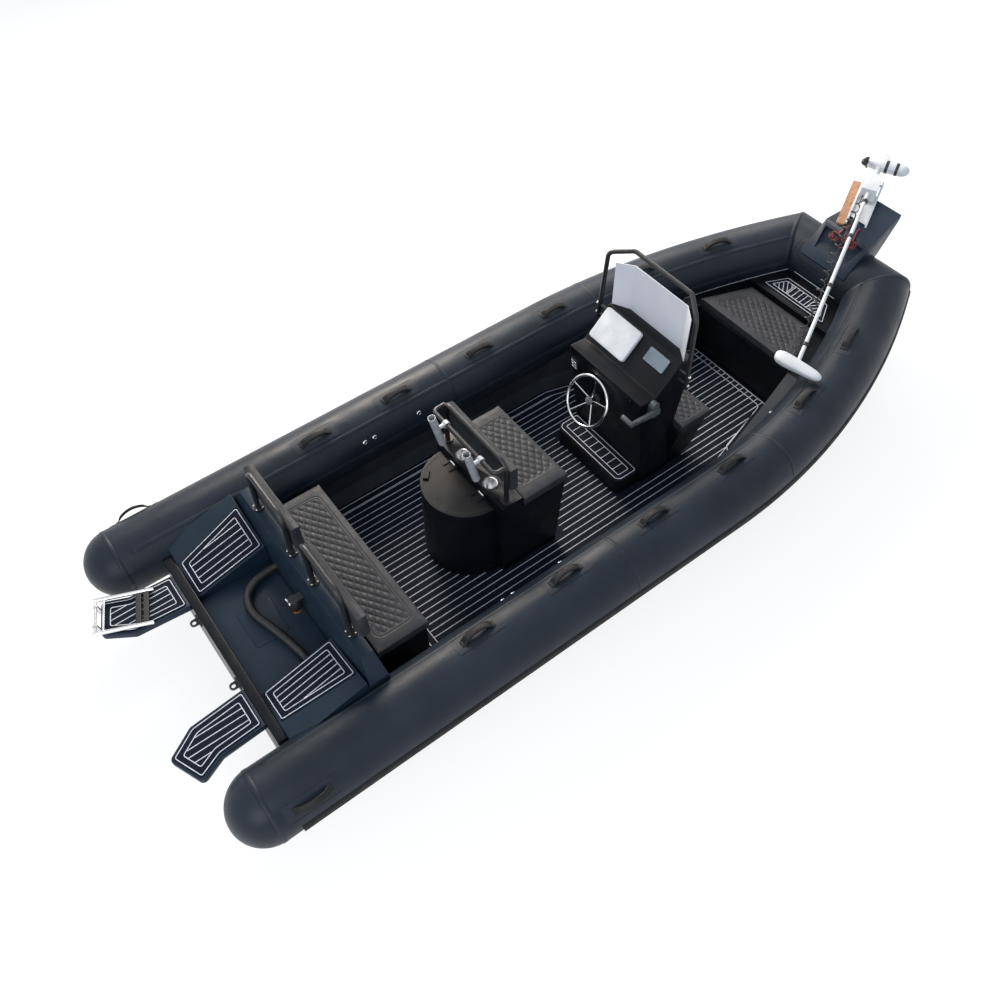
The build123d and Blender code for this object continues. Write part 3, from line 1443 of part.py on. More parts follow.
with BuildPart() as foot_pads:
    add(bow_foot_pad.part)
    with BuildSketch(Plane.XY.offset(STEP_TOP)):
        with BuildLine():
            Polyline(*STEP_OUTLINE, close=True)
        make_face()
        offset(amount=-STEP_PAD_INSET, kind=Kind.INTERSECTION, mode=Mode.REPLACE)
    extrude(amount=EVA)
    add(console.part, mode=Mode.SUBTRACT)
foot_pads.part.label = "foot_pads"
export_step(foot_pads.part, "parts/foot_pads.step")

# Bow moulding: sits over the bow tube, carries the motor, has a cable recess in its sloping face
PLATE_PROFILE = (
    (PLATE_AFT_X, PLATE_AFT_Z),
    (PLATE_KNEE_X, PLATE_KNEE_Z),
    (PLATE_FRONT_X, PLATE_FRONT_Z),
    (PLATE_FRONT_X, PLATE_FRONT_Z - PLATE_LIP),
    (PLATE_FRONT_X - PLATE_CHIN_BACK, PLATE_FRONT_Z - PLATE_CHIN_DROP),
    (BOW_CENTRE.X, PLATE_FRONT_Z - PLATE_FLOOR_DROP),
    (PLATE_AFT_X + PLATE_HEM_IN, PLATE_AFT_Z - PLATE_HEM_DROP),
)
recess_plane = slope_plane(PLATE_PROFILE[0], PLATE_PROFILE[1])
plate_rise = (PLATE_FRONT_Z - PLATE_KNEE_Z) / (PLATE_FRONT_X - PLATE_KNEE_X)
plate_top = Plane((PLATE_KNEE_X, 0, PLATE_KNEE_Z), z_dir=(-plate_rise, 0, 1))
with BuildPart() as bow_plate:
    with BuildSketch(Plane.XZ):
        with BuildLine():
            Polyline(*PLATE_PROFILE, close=True)
        make_face()
    extrude(amount=PLATE_AFT_HALF, both=True)
    with BuildSketch(Plane.XY.offset(BOW_CENTRE.Z)):
        with BuildLine():
            Polyline(
                (PLATE_AFT_X - PLATE_LIP, PLATE_AFT_HALF),
                (PLATE_KNEE_X, PLATE_AFT_HALF),
                (PLATE_FRONT_X, PLATE_FRONT_HALF),
                (PLATE_FRONT_X, -PLATE_FRONT_HALF),
                (PLATE_KNEE_X, -PLATE_AFT_HALF),
                (PLATE_AFT_X - PLATE_LIP, -PLATE_AFT_HALF),
                close=True,
            )
        make_face()
    extrude(amount=2 * TUBE_R, mode=Mode.INTERSECT)
    add(bow_bed, mode=Mode.SUBTRACT)
    with BuildSketch(recess_plane):
        with BuildLine():
            Polyline(
                (RECESS_FORE, RECESS_TOP),
                (-RECESS_FORE, RECESS_TOP),
                (-RECESS_AFT, RECESS_FOOT),
                (RECESS_AFT, RECESS_FOOT),
                close=True,
            )
        make_face()
    extrude(amount=-RECESS_DEPTH, mode=Mode.SUBTRACT)
bow_plate.part.label = "bow_plate"
export_step(bow_plate.part, "parts/bow_plate.step")

# Electric motor, stowed askew on the bow moulding.  Places are given from its hinge pin:
# forward along the motor, across it to port, and up
motor_fore = Vector(cos(radians(MOTOR_SKEW)), sin(radians(MOTOR_SKEW)), 0)
motor_across = Vector(-sin(radians(MOTOR_SKEW)), cos(radians(MOTOR_SKEW)), 0)
motor_pivot = Vector(BOW_CENTRE.X + PIVOT_FORE, PIVOT_ACROSS, BOW_CENTRE.Z + PIVOT_RISE)


def on_motor(fore, across, up):
    """Point given from the motor's hinge pin."""
    return motor_pivot + motor_fore * fore + motor_across * across + Vector(0, 0, up)


def motor_side(across):
    """Plane along the motor and up, a distance to port of its middle."""
    return Plane(on_motor(0, across, 0), x_dir=motor_fore, z_dir=-motor_across)


def shaft_up(fore):
    """Height of the motor shaft's axis above the hinge pin."""
    return LOWER_UP + (fore - LOWER_FORE) * tan(radians(MOTOR_PITCH))


shaft_axis = motor_fore * cos(radians(MOTOR_PITCH)) + Vector(0, 0, sin(radians(MOTOR_PITCH)))

# Motor bracket: two rails on a floor plate, bored for the hinge pin
with BuildPart() as motor_bracket:
    for start in (RAIL_INNER + RAIL_THICK, -RAIL_INNER):
        with BuildSketch(motor_side(start)):
            with BuildLine():
                Polyline(
                    (RAIL_AFT, RAIL_AFT_TOP),
                    (RAIL_FORE, RAIL_FORE_TOP),
                    (RAIL_FORE, RAIL_FORE_TOP - RAIL_DEEP),
                    (RAIL_AFT, RAIL_AFT_TOP - RAIL_DEEP),
                    close=True,
                )
            make_face()
            Circle(PIVOT_R + RUNNING_FIT, mode=Mode.SUBTRACT)
        extrude(amount=RAIL_THICK)
    split(bisect_by=plate_top, keep=Keep.TOP)
    with BuildPart() as bracket_floor:
        with BuildSketch(motor_side(RAIL_INNER)):
            with BuildLine():
                Polyline(
                    (RAIL_AFT, -RAIL_DEEP),
                    (FLOOR_FORE, -RAIL_DEEP),
                    (FLOOR_FORE, RAIL_DEEP),
                    (RAIL_AFT, RAIL_DEEP),
                    close=True,
                )
            make_face()
        extrude(amount=2 * RAIL_INNER)
        split(bisect_by=plate_top, keep=Keep.TOP)
        split(bisect_by=plate_top.offset(FLOOR_THICK), keep=Keep.BOTTOM)
motor_bracket.part.label = "motor_bracket"
export_step(motor_bracket.part, "parts/motor_bracket.step")

# Timber packer beside the bracket's port rail
with BuildPart() as timber_packer:
    with BuildSketch(motor_side(RAIL_INNER + RAIL_THICK + TIMBER_WIDTH)):
        with BuildLine():
            Polyline(
                (TIMBER_AFT, shaft_up(TIMBER_AFT) - TIMBER_DROP),
                (TIMBER_FORE, shaft_up(TIMBER_FORE) - TIMBER_DROP),
                (TIMBER_FORE, shaft_up(TIMBER_FORE) - TIMBER_DROP - TIMBER_THICK),
                (TIMBER_AFT, shaft_up(TIMBER_AFT) - TIMBER_DROP - TIMBER_THICK),
                close=True,
            )
        make_face()
    extrude(amount=TIMBER_WIDTH)
    split(bisect_by=plate_top, keep=Keep.TOP)
timber_packer.part.label = "timber_packer"
export_step(timber_packer.part, "parts/timber_packer.step")

# Shaft
shaft_foot = on_motor(LOWER_FORE, 0, LOWER_UP)
shaft_head = on_motor(HEAD_FORE, 0, shaft_up(HEAD_FORE))
with BuildPart() as motor_shaft:
    add(straight_bar(shaft_foot - shaft_axis * COLLAR_R, shaft_head, ARM_SHAFT_R))
motor_shaft.part.label = "motor_shaft"
export_step(motor_shaft.part, "parts/motor_shaft.step")

# Curly power cable, drawn as one tube as thick as its coils
cable_points = [on_motor(fore, across, shaft_up(fore) - drop) for fore, across, drop in CABLE_ROUTE]
cable_bends = bend_radii(cable_points)
print("motor_cable bends", cable_bends)
with BuildPart() as motor_cable:
    add(bent_cord(cable_points, cable_bends, CABLE_R))
motor_cable.part.label = "motor_cable"
export_step(motor_cable.part, "parts/motor_cable.step")

# Head: the steering and control unit, a flat tapered pod at the shaft's upper end
with BuildPart() as motor_head:
    with BuildSketch(Plane(on_motor(0, 0, HEAD_UP), x_dir=motor_fore, z_dir=(0, 0, 1))):
        with Locations((HEAD_WIDE_FORE, HEAD_WIDE_ACROSS)):
            Circle(HEAD_WIDE_R)
        with Locations((HEAD_TIP_FORE, HEAD_TIP_ACROSS)):
            Circle(HEAD_TIP_R)
        make_hull()
    extrude(amount=HEAD_TALL)
    fillet(motor_head.edges().group_by(Axis.Z)[-1], HEAD_ROUND)
    fillet(motor_head.edges().group_by(Axis.Z)[0], HEAD_ROUND)
    add(motor_shaft.part, mode=Mode.SUBTRACT)
    add(motor_cable.part, mode=Mode.SUBTRACT)
motor_head.part.label = "motor_head"
export_step(motor_head.part, "parts/motor_head.step")

# Housing: the carriage that the shaft runs through, with lugs down to the hinge pin
with BuildPart() as motor_housing:
    with BuildSketch(motor_side(HOUSING_HALF)):
        with BuildLine():
            Polyline(
                (HOUSING_AFT, shaft_up(HOUSING_AFT) - HOUSING_BELOW),
                (HOUSING_AFT, shaft_up(HOUSING_AFT) + HOUSING_ABOVE),
                (HOUSING_FORE, shaft_up(HOUSING_FORE) + HOUSING_ABOVE),
                (HOUSING_FORE, shaft_up(HOUSING_FORE) - HOUSING_BELOW),
                close=True,
            )
        make_face()
    extrude(amount=2 * HOUSING_HALF)
    for start in (ARM_LUG_OUTER, ARM_LUG_THICK - ARM_LUG_OUTER):
        with BuildSketch(motor_side(start)):
            Circle(ARM_LUG_R)
            with Locations((HOUSING_FORE - ARM_LUG_R, shaft_up(HOUSING_FORE) - HOUSING_BELOW + ARM_LUG_R)):
                Circle(ARM_LUG_R)
            make_hull()
        extrude(amount=ARM_LUG_THICK)
    add(straight_bar(on_motor(0, PIN_HALF, 0), on_motor(0, -PIN_HALF, 0), PIVOT_R))
    add(motor_shaft.part, mode=Mode.SUBTRACT)
    add(motor_cable.part, mode=Mode.SUBTRACT)
motor_housing.part.label = "motor_housing"
export_step(motor_housing.part, "parts/motor_housing.step")

# Lower unit: torpedo lying across the shaft, with a collar, a keel fin and the propeller's pin
with BuildPart() as motor_lower_unit:
    with BuildSketch(Plane(shaft_foot, x_dir=motor_across.cross(shaft_axis), z_dir=shaft_axis)):
        with BuildLine():
            Polyline((0, TORPEDO_NOSE), (0, TORPEDO_TAIL), (TORPEDO_TAIL_R, TORPEDO_TAIL), (TORPEDO_R, 0))
            Line((TORPEDO_R, 0), (TORPEDO_R, TORPEDO_NOSE + TORPEDO_DOME))
            Bezier(
                (TORPEDO_R, TORPEDO_NOSE + TORPEDO_DOME),
                (TORPEDO_R, TORPEDO_NOSE + TORPEDO_DOME / 3),
                (TORPEDO_R / 2, TORPEDO_NOSE),
                (0, TORPEDO_NOSE),
            )
        make_face()
    revolve(axis=Axis(shaft_foot, motor_across))
    add(straight_bar(shaft_foot - shaft_axis * COLLAR_LENGTH, shaft_foot, COLLAR_R))
    with BuildSketch(Plane(shaft_foot, x_dir=shaft_axis, z_dir=shaft_axis.cross(motor_across))):
        with BuildLine():
            Polyline(
                (0, FIN_NOSE),
                (FIN_REACH, FIN_NOSE + FIN_RAKE),
                (FIN_REACH, FIN_TAIL),
                (0, FIN_TAIL),
                close=True,
            )
        make_face()
    extrude(amount=FIN_THICK / 2, both=True)
    pin_root = shaft_foot + motor_across * TORPEDO_TAIL / 2
    add(straight_bar(pin_root, shaft_foot + motor_across * PROP_PIN_END, PIVOT_R))
    add(motor_shaft.part, mode=Mode.SUBTRACT)
motor_lower_unit.part.label = "motor_lower_unit"
export_step(motor_lower_unit.part, "parts/motor_lower_unit.step")

# Propeller: two broad blades on a hub that turns on the pin
with BuildPart() as propeller:
    with BuildSketch(Plane(shaft_foot, x_dir=shaft_axis, z_dir=shaft_axis.cross(motor_across))):
        with BuildLine():
            Polyline(
                (PIVOT_R + RUNNING_FIT, PROP_START),
                (PROP_HUB_R, PROP_START),
                (PROP_HUB_R, PROP_PIN_END),
                (PROP_HUB_R / 2, PROP_END),
                (0, PROP_END),
                (0, PROP_PIN_END + HUB_END_GAP),
                (PIVOT_R + RUNNING_FIT, PROP_PIN_END + HUB_END_GAP),
                close=True,
            )
        make_face()
    revolve(axis=Axis(shaft_foot, motor_across))
    prop_middle = shaft_foot + motor_across * (PROP_START + PROP_PIN_END) / 2
    for blade in range(BLADES):
        out = shaft_axis.rotate(Axis((0, 0, 0), motor_across), BLADE_FIRST + 360 / BLADES * blade)
        chord = motor_across.rotate(Axis((0, 0, 0), out), BLADE_PITCH)
        with BuildSketch(Plane(prop_middle, x_dir=out, z_dir=out.cross(chord))):
            with BuildLine():
                Polyline(
                    (BLADE_START, -BLADE_ROOT / 2),
                    (BLADE_WIDEST, -BLADE_CHORD / 2),
                    (PROP_R - BLADE_TIP, -BLADE_CHORD / 2),
                    (PROP_R, -BLADE_CHORD / 6),
                    (PROP_R, BLADE_CHORD / 6),
                    (PROP_R - BLADE_TIP, BLADE_CHORD / 2),
                    (BLADE_WIDEST, BLADE_CHORD / 2),
                    (BLADE_START, BLADE_ROOT / 2),
                    close=True,
                )
            make_face()
        extrude(amount=BLADE_THICK / 2, both=True)
propeller.part.label = "propeller"
export_step(propeller.part, "parts/propeller.step")

# Red supply leads: one loop from the bracket down into the recess and back
lead_points = [(BOW_CENTRE.X + fore, across, BOW_CENTRE.Z + up) for fore, across, up in LEAD_ROUTE]
lead_bends = bend_radii(lead_points)
print("red_leads bends", lead_bends)
with BuildPart() as red_leads:
    add(bent_cord(lead_points, lead_bends, LEAD_R))
red_leads.part.label = "red_leads"
export_step(red_leads.part, "parts/red_leads.step")

# Rigging hose in the splash well, from the bulkhead round to the starboard quarter
hose_z = WELL_FLOOR + HATCH_THICK + HOSE_R + HOSE_LIFT
hose_points = [(BULKHEAD_X + x, y, hose_z) for x, y in HOSE_ROUTE]
hose_bends = bend_radii(hose_points)
print("rigging_hose bends", hose_bends)
with BuildPart() as rigging_hose:
    add(bent_cord(hose_points, hose_bends, HOSE_R))
rigging_hose.part.label = "rigging_hose"
export_step(rigging_hose.part, "parts/rigging_hose.step")

# Fuel filter on the bulkhead: head, canister and clear bowl on a bracket
with BuildPart() as fuel_filter:
    with BuildSketch(Plane.XY.offset(FILTER_Z)):
        with Locations((BULKHEAD_X - FILTER_OUT, FILTER_Y)):
            Circle(FILTER_R)
    extrude(amount=FILTER_CAN)
    with BuildSketch(Plane.XY.offset(FILTER_Z)):
        with Locations((BULKHEAD_X - FILTER_OUT, FILTER_Y)):
            Circle(FILTER_BOWL_R)
    extrude(amount=-FILTER_BOWL)
    with BuildSketch(Plane.XY.offset(FILTER_Z + FILTER_CAN)):
        with Locations((BULKHEAD_X + BULKHEAD_SLOPE, FILTER_Y)):
            Rectangle(FILTER_OUT + FILTER_R + BULKHEAD_SLOPE, 2 * FILTER_R, align=(Align.MAX, Align.CENTER))
    extrude(amount=FILTER_HEAD)
    add(bulkhead.part, mode=Mode.SUBTRACT)
fuel_filter.part.label = "fuel_filter"
export_step(fuel_filter.part, "parts/fuel_filter.step")
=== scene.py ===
from math import atan2, cos, exp, hypot, pi, radians, sin, sqrt, tan

import bmesh
import bpy
from mathutils import Matrix, Vector


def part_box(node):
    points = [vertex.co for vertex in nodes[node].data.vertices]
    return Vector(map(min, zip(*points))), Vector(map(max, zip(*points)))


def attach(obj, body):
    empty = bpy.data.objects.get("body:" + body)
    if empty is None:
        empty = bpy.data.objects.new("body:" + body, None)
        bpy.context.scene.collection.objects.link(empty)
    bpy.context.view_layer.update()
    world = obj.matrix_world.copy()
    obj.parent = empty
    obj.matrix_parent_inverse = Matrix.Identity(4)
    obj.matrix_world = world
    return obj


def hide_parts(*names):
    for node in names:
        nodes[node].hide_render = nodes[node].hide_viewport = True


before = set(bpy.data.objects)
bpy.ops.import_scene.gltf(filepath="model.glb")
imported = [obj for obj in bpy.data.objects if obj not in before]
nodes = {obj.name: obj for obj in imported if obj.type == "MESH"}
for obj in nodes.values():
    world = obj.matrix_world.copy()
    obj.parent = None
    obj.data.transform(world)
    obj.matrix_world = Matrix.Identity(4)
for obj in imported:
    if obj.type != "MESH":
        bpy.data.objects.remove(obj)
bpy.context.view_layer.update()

# Inflated tubes: coated fabric, glued into long cylinders with a domed cone at each stern end
# and a mitred bow piece. The coating is dark slate with a soft sheen and a fine woven grain.
TUBE_R = 0.216
TUBE_Y = 0.943
TUBE_Z = 0.447
BEND_X = 0.55
BEND_R = 4.136
BEND_TURN = radians(30.8)
BEND_TILT = radians(16.4)
BEND_S = BEND_R * BEND_TURN
STERN_X = -2.909
STERN_S = STERN_X + TUBE_R - BEND_X
SIDES = {"port": 1, "starboard": -1}
THREAD = 0.0016
WAVE_BANDS = 3.2  # bands a metre that the wave texture draws at a scale of 1
UP = Vector((0, 0, 1))


def speckle(tree, scale, detail=3.0, stretch=(1, 1, 1)):
    """Noise laid on the piece's own coordinates, drawn out along the axes by stretch."""
    place = tree.nodes.new("ShaderNodeTexCoord")
    turn = tree.nodes.new("ShaderNodeMapping")
    turn.inputs["Scale"].default_value = stretch
    noise = tree.nodes.new("ShaderNodeTexNoise")
    noise.inputs["Scale"].default_value = scale
    noise.inputs["Detail"].default_value = detail
    tree.links.new(place.outputs["Object"], turn.inputs["Vector"])
    tree.links.new(turn.outputs["Vector"], noise.inputs["Vector"])
    return noise.outputs["Fac"]


def weave(tree, pitch):
    """Crossed threads of a woven cloth."""
    place = tree.nodes.new("ShaderNodeTexCoord")
    both = tree.nodes.new("ShaderNodeMath")
    both.operation = "MULTIPLY"
    for direction, height in zip(("X", "Y"), both.inputs):
        wave = tree.nodes.new("ShaderNodeTexWave")
        wave.bands_direction = direction
        wave.inputs["Scale"].default_value = 1 / pitch / WAVE_BANDS
        tree.links.new(place.outputs["Object"], wave.inputs["Vector"])
        tree.links.new(wave.outputs["Fac"], height)
    return both.outputs["Value"]


def coating(name, mottle, tones, rough, bumps=(), slot=None, gloss=0.5, metallic=0.0, settings=None):
    """Material for a slot of the record, on the piece's own coordinates.

    mottle is the noise, as (scale, detail, stretch), between the two tones of the colour. rough is one
    roughness, or two of them and the noise between. bumps are (height, depth in metres) pairs, each
    height a noise or the pitch of woven threads. settings are more sockets of the shader.
    """
    material = bpy.data.materials.new("finish_" + name)
    material["slot"] = slot or name
    material.use_nodes = True
    tree = material.node_tree
    link = tree.links.new
    shader = tree.nodes["Principled BSDF"]
    shader.inputs["Base Color"].default_value = (*tones[1], 1)
    shader.inputs["Metallic"].default_value = metallic
    shader.inputs["Specular IOR Level"].default_value = gloss
    for socket, value in (settings or {}).items():
        shader.inputs[socket].default_value = value
    ramp = tree.nodes.new("ShaderNodeValToRGB")
    for stop, position, tone in zip(ramp.color_ramp.elements, (0.35, 0.65), tones):
        stop.position = position
        stop.color = (*tone, 1)
    link(speckle(tree, *mottle), ramp.inputs["Fac"])
    link(ramp.outputs["Color"], shader.inputs["Base Color"])
    if isinstance(rough, tuple):
        low, high, noise = rough
        spread = tree.nodes.new("ShaderNodeMapRange")
        limits = {"From Min": 0.3, "From Max": 0.7, "To Min": low, "To Max": high}
        for socket, value in limits.items():
            spread.inputs[socket].default_value = value
        link(speckle(tree, *noise), spread.inputs["Value"])
        link(spread.outputs["Result"], shader.inputs["Roughness"])
    else:
        shader.inputs["Roughness"].default_value = rough
    under = None
    for height, depth in bumps:
        bump = tree.nodes.new("ShaderNodeBump")
        bump.inputs["Strength"].default_value = 1.0
        bump.inputs["Distance"].default_value = depth
        relief = speckle(tree, *height) if isinstance(height, tuple) else weave(tree, height)
        link(relief, bump.inputs["Height"])
        if under is not None:
            link(under.outputs["Normal"], bump.inputs["Normal"])
        link(bump.outputs["Normal"], shader.inputs["Normal"])
        under = bump
    return material


tube_fabric = coating(
    "tube_fabric", (2.2, 5), ((0.008, 0.013, 0.021), (0.016, 0.023, 0.034)), (0.34, 0.48, (5.0, 6)),
    [((7, 2), 0.004), (THREAD, 0.0001), ((420, 2), 0.00012)], gloss=0.24,
)


def walls(rings, around, first=0):
    """Quads between rings of points that follow one another, each with the same number of points."""
    faces = []
    for ring in range(rings - 1):
        near, far = first + ring * around, first + (ring + 1) * around
        for k in range(around):
            after = (k + 1) % around
            faces.append((near + k, near + after, far + after, far + k))
    return faces


def shell(rings, around, first=0):
    """The same quads with a face over each end."""
    last = first + (rings - 1) * around
    ends = [tuple(first + k for k in range(around)), tuple(last + k for k in reversed(range(around)))]
    return walls(rings, around, first) + ends


def in_scene(name, data):
    """New object in the scene, at the origin."""
    thing = bpy.data.objects.new(name, data)
    bpy.context.scene.collection.objects.link(thing)
    return thing


def declared(piece, body, replaces):
    """Sets a piece on its body and hides the nodes that it stands for."""
    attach(piece, body)
    if replaces:
        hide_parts(*replaces)
    return piece


def placed(name, mesh, material, body="hull", smooth=True, replaces=()):
    """Gives a mesh its finish and sets it on its body."""
    mesh.materials.clear()
    mesh.materials.append(material)
    mesh.polygons.foreach_set("use_smooth", [smooth] * len(mesh.polygons))
    return declared(in_scene(name, mesh), body, replaces)


def finished(name, verts, faces, material, body="hull", smooth=True, replaces=()):
    """Makes a piece from points and faces, closed at its seams and facing outwards."""
    mesh = bpy.data.meshes.new(name)
    mesh.from_pydata([tuple(v) for v in verts], [], faces)
    shape = bmesh.new()
    shape.from_mesh(mesh)
    bmesh.ops.remove_doubles(shape, verts=shape.verts, dist=1e-6)
    bmesh.ops.recalc_face_normals(shape, faces=shape.faces)
    shape.to_mesh(mesh)
    shape.free()
    return placed(name, mesh, material, body, smooth, replaces)


def tube_frame(s, side):
    """Centre, heading, outboard and upward directions of a side tube, s metres past the bend's start."""
    turn = min(max(s / BEND_R, 0), BEND_TURN)
    inward = BEND_R * (1 - cos(turn))
    across = side * (TUBE_Y - inward * cos(BEND_TILT))
    centre = Vector((BEND_X + BEND_R * sin(turn), across, TUBE_Z + inward * sin(BEND_TILT)))
    heading = Vector((cos(turn), -side * sin(turn) * cos(BEND_TILT), sin(turn) * sin(BEND_TILT)))
    centre += heading * (s - turn * BEND_R)
    outboard = heading.cross(UP).normalized() * -side
    upward = heading.cross(outboard) * side
    return centre, heading, outboard, upward


def tube_normal(s, degrees_round, side):
    """Outward direction on a side tube: degrees round from its outboard side, over the top."""
    _, _, outboard, upward = tube_frame(s, side)
    return outboard * cos(radians(degrees_round)) + upward * sin(radians(degrees_round))


def on_tube(s, degrees_round, side, lift=0.0):
    """Point on a side tube's skin, or lifted off it; negative degrees are below its outboard side."""
    return tube_frame(s, side)[0] + tube_normal(s, degrees_round, side) * (TUBE_R + lift)


def s_at(x):
    """Distance along a tube of a station."""
    past = x - BEND_X
    return past if past <= 0 else BEND_R * atan2(past, sqrt(BEND_R**2 - past**2))


mitre_at, bend_heading = tube_frame(BEND_S, 1)[:2]
mitre_normal = bend_heading + Vector((0, -1, 0))


def mitre_s(degrees_round):
    """Distance along the tube where a line of its skin reaches the bow mitre."""
    low, high = BEND_S - 0.5, BEND_S + 0.5
    for _ in range(40):
        middle = (low + high) / 2
        if (on_tube(middle, degrees_round, 1) - mitre_at).dot(mitre_normal) < 0:
            low = middle
        else:
            high = middle
    return low


def on_bow(degrees_round, y):
    """Point on the bow tube: degrees round from its fore side, over the top."""
    angle = radians(degrees_round)
    return Vector((mitre_at.x + TUBE_R * cos(angle), y, mitre_at.z + TUBE_R * sin(angle)))


ROUND = 96
DOME_RINGS = 16
LENGTH_RINGS = 150
BOW_RINGS = 24
angles = [360 * k / ROUND for k in range(ROUND)]
tube_ends = [mitre_s(angle) for angle in angles]
for label, side in SIDES.items():
    verts = []
    centre, heading, _, _ = tube_frame(STERN_S, side)
    for ring in range(DOME_RINGS):
        swing = pi / 2 * ring / DOME_RINGS
        for angle in angles:
            out = tube_normal(STERN_S, angle, side)
            verts.append(centre + (out * sin(swing) - heading * cos(swing)) * TUBE_R)
    for ring in range(LENGTH_RINGS + 1):
        for angle, end in zip(angles, tube_ends):
            verts.append(on_tube(STERN_S + (end - STERN_S) * ring / LENGTH_RINGS, angle, side))
    rings = DOME_RINGS + LENGTH_RINGS + 1
    last = (rings - 1) * ROUND
    verts.append(Vector((mitre_at.x, side * mitre_at.y, mitre_at.z)))
    faces = walls(rings, ROUND)
    faces += [(last + k, last + (k + 1) % ROUND, len(verts) - 1) for k in range(ROUND)]
    finished(f"air_tube_{label}", verts, faces, tube_fabric, replaces=[f"tube_{label}"])

bow_reach = []
for angle in angles:
    offset = on_bow(angle, mitre_at.y) - mitre_at
    bow_reach.append(mitre_at.y - offset.dot(mitre_normal) / mitre_normal.y)
verts = []
for ring in range(BOW_RINGS + 1):
    share = 1 - 2 * ring / BOW_RINGS
    verts += [on_bow(angle, share * reach) for angle, reach in zip(angles, bow_reach)]
finished("air_tube_bow", verts, walls(BOW_RINGS + 1, ROUND), tube_fabric, replaces=["tube_bow"])

# Seam tapes: strips of the same coated fabric, glued over every joint of the tubes, and the
# long tape where the moulded liner is bonded to the tubes' inner side.
TAPE = 0.0014
TAPE_FEATHER = 0.08
tape_fabric = coating(
    "tape_fabric", (6, 4), ((0.010, 0.015, 0.023), (0.019, 0.026, 0.037)), 0.46,
    [(THREAD, 0.0001), ((300, 2), 0.0002)], slot="tube_fabric", gloss=0.24,
)


def ribbon(name, rows):
    """Thin strip from rows of (left edge, right edge, outward normal), its edges feathered down."""
    verts = []
    for left, right, normal in rows:
        feather = (right - left) * TAPE_FEATHER
        rise = normal * TAPE
        verts += [left - rise, left + feather + rise, right - feather + rise, right - rise]
    return finished(name, verts, shell(len(rows), 4), tape_fabric)


def hoop_tape(name, s_of, side, width, first, last, steps=72):
    """Tape round a tube between two angles, at the distance along the tube that s_of gives."""
    rows = []
    for k in range(steps + 1):
        angle = first + (last - first) * k / steps
        s = s_of(angle)
        edges = [on_tube(s + half, angle, side) for half in (-width / 2, width / 2)]
        rows.append((*edges, tube_normal(s, angle, side)))
    return ribbon(name, rows)


def long_tape(name, degrees_round, side, start, end, width, steps=140):
    """Tape along a tube at one angle round it."""
    half = width / 2 / TUBE_R * 180 / pi
    rows = []
    for k in range(steps + 1):
        s = start + (end - start) * k / steps
        edges = [on_tube(s, degrees_round + turn, side) for turn in (-half, half)]
        rows.append((*edges, tube_normal(s, degrees_round, side)))
    return ribbon(name, rows)


# name, distance along the tube at an angle round it, width, first and last degrees round
HOOP_TAPES = (
    ("cap_tape", lambda angle: s_at(-2.705), 0.03, -180, 180),
    ("mitre_tape", lambda angle: mitre_s(angle) - 0.022, 0.038, -100, 175),
    ("panel_tape", lambda angle: s_at(-0.30), 0.026, -60, 165),
    ("bow_panel_tape", lambda angle: s_at(1.02), 0.026, -60, 165),
)
# name, degrees round the tube, start and end along it, width
LONG_TAPES = (
    ("liner_tape", 176, s_at(-2.36), BEND_S - 0.06, 0.05),
    ("seam_tape", 124, s_at(-2.62), BEND_S - 0.1, 0.03),
    ("under_tape", -42, s_at(-2.62), BEND_S - 0.05, 0.04),
)
for label, side in SIDES.items():
    for name, s_of, width, first, last in HOOP_TAPES:
        hoop_tape(f"{name}_{label}", s_of, side, width, first, last)
    for name, degrees_round, start, end, width in LONG_TAPES:
        long_tape(f"{name}_{label}", degrees_round, side, start, end, width)

# Rub strakes: a thick extruded rubber strip glued along the widest line of each tube, with two
# raised ridges that take the knocks.
rubber_black = coating(
    "rubber_black", (9, 5), ((0.005, 0.005, 0.006), (0.013, 0.013, 0.014)), (0.5, 0.7, (22, 4)),
    [((500, 2), 0.0002)], gloss=0.3,
)
STRAKE_AFT = -2.6
STRAKE_STEPS = 160
STRAKE_SINK = 0.002
# degrees round the tube, lift off it in millimetres
STRAKE_PROFILE = (
    (-18, 0), (-17.4, 6), (-15.4, 10), (-13.4, 13.8), (-11, 13.8), (-9.6, 10), (-8, 8.5),
    (-6.4, 10), (-5, 13.8), (-2.6, 13.8), (-0.6, 10), (1.4, 6), (2, 0),
)
strake_ends = [mitre_s(angle) for angle, _ in STRAKE_PROFILE]
for label, side in SIDES.items():
    verts = []
    start = s_at(STRAKE_AFT)
    for step in range(STRAKE_STEPS + 1):
        for (angle, lift), end in zip(STRAKE_PROFILE, strake_ends):
            s = start + (end - start) * step / STRAKE_STEPS
            verts.append(on_tube(s, angle, side, lift / 1000 - (STRAKE_SINK if lift == 0 else 0)))
    faces = shell(STRAKE_STEPS + 1, len(STRAKE_PROFILE))
    finished(f"rub_strake_{label}", verts, faces, rubber_black, smooth=False, replaces=["rub_strakes"])

# Carrying handles: moulded rubber straps on a rectangular patch that is glued to the tube.
# The strap is ribbed on top for grip and flattens out into two feet.
PATCH_LONG, PATCH_WIDE, PATCH_CORNER = 0.165, 0.062, 0.016
PATCH_RIM = ((-0.002, 0.0), (0.0016, 0.003))  # lift off the tube, margin
PATCH_TOP, PATCH_BORDER = 0.0019, 0.006
PATCH_CELLS = (12, 6)
STRAP_HALF, STRAP_RISE, STRAP_THICK = 0.113, 0.043, 0.010
STRAP_STEPS = 40
GRIP_PITCH, GRIP_RIDGE = 0.011, 0.0012
# station, degrees round the tube
HANDLES = (
    (-2.491, 36), (-1.296, 102), (-0.668, 102), (0.017, 102), (0.681, 102), (1.456, 102), (2.076, 99)
)


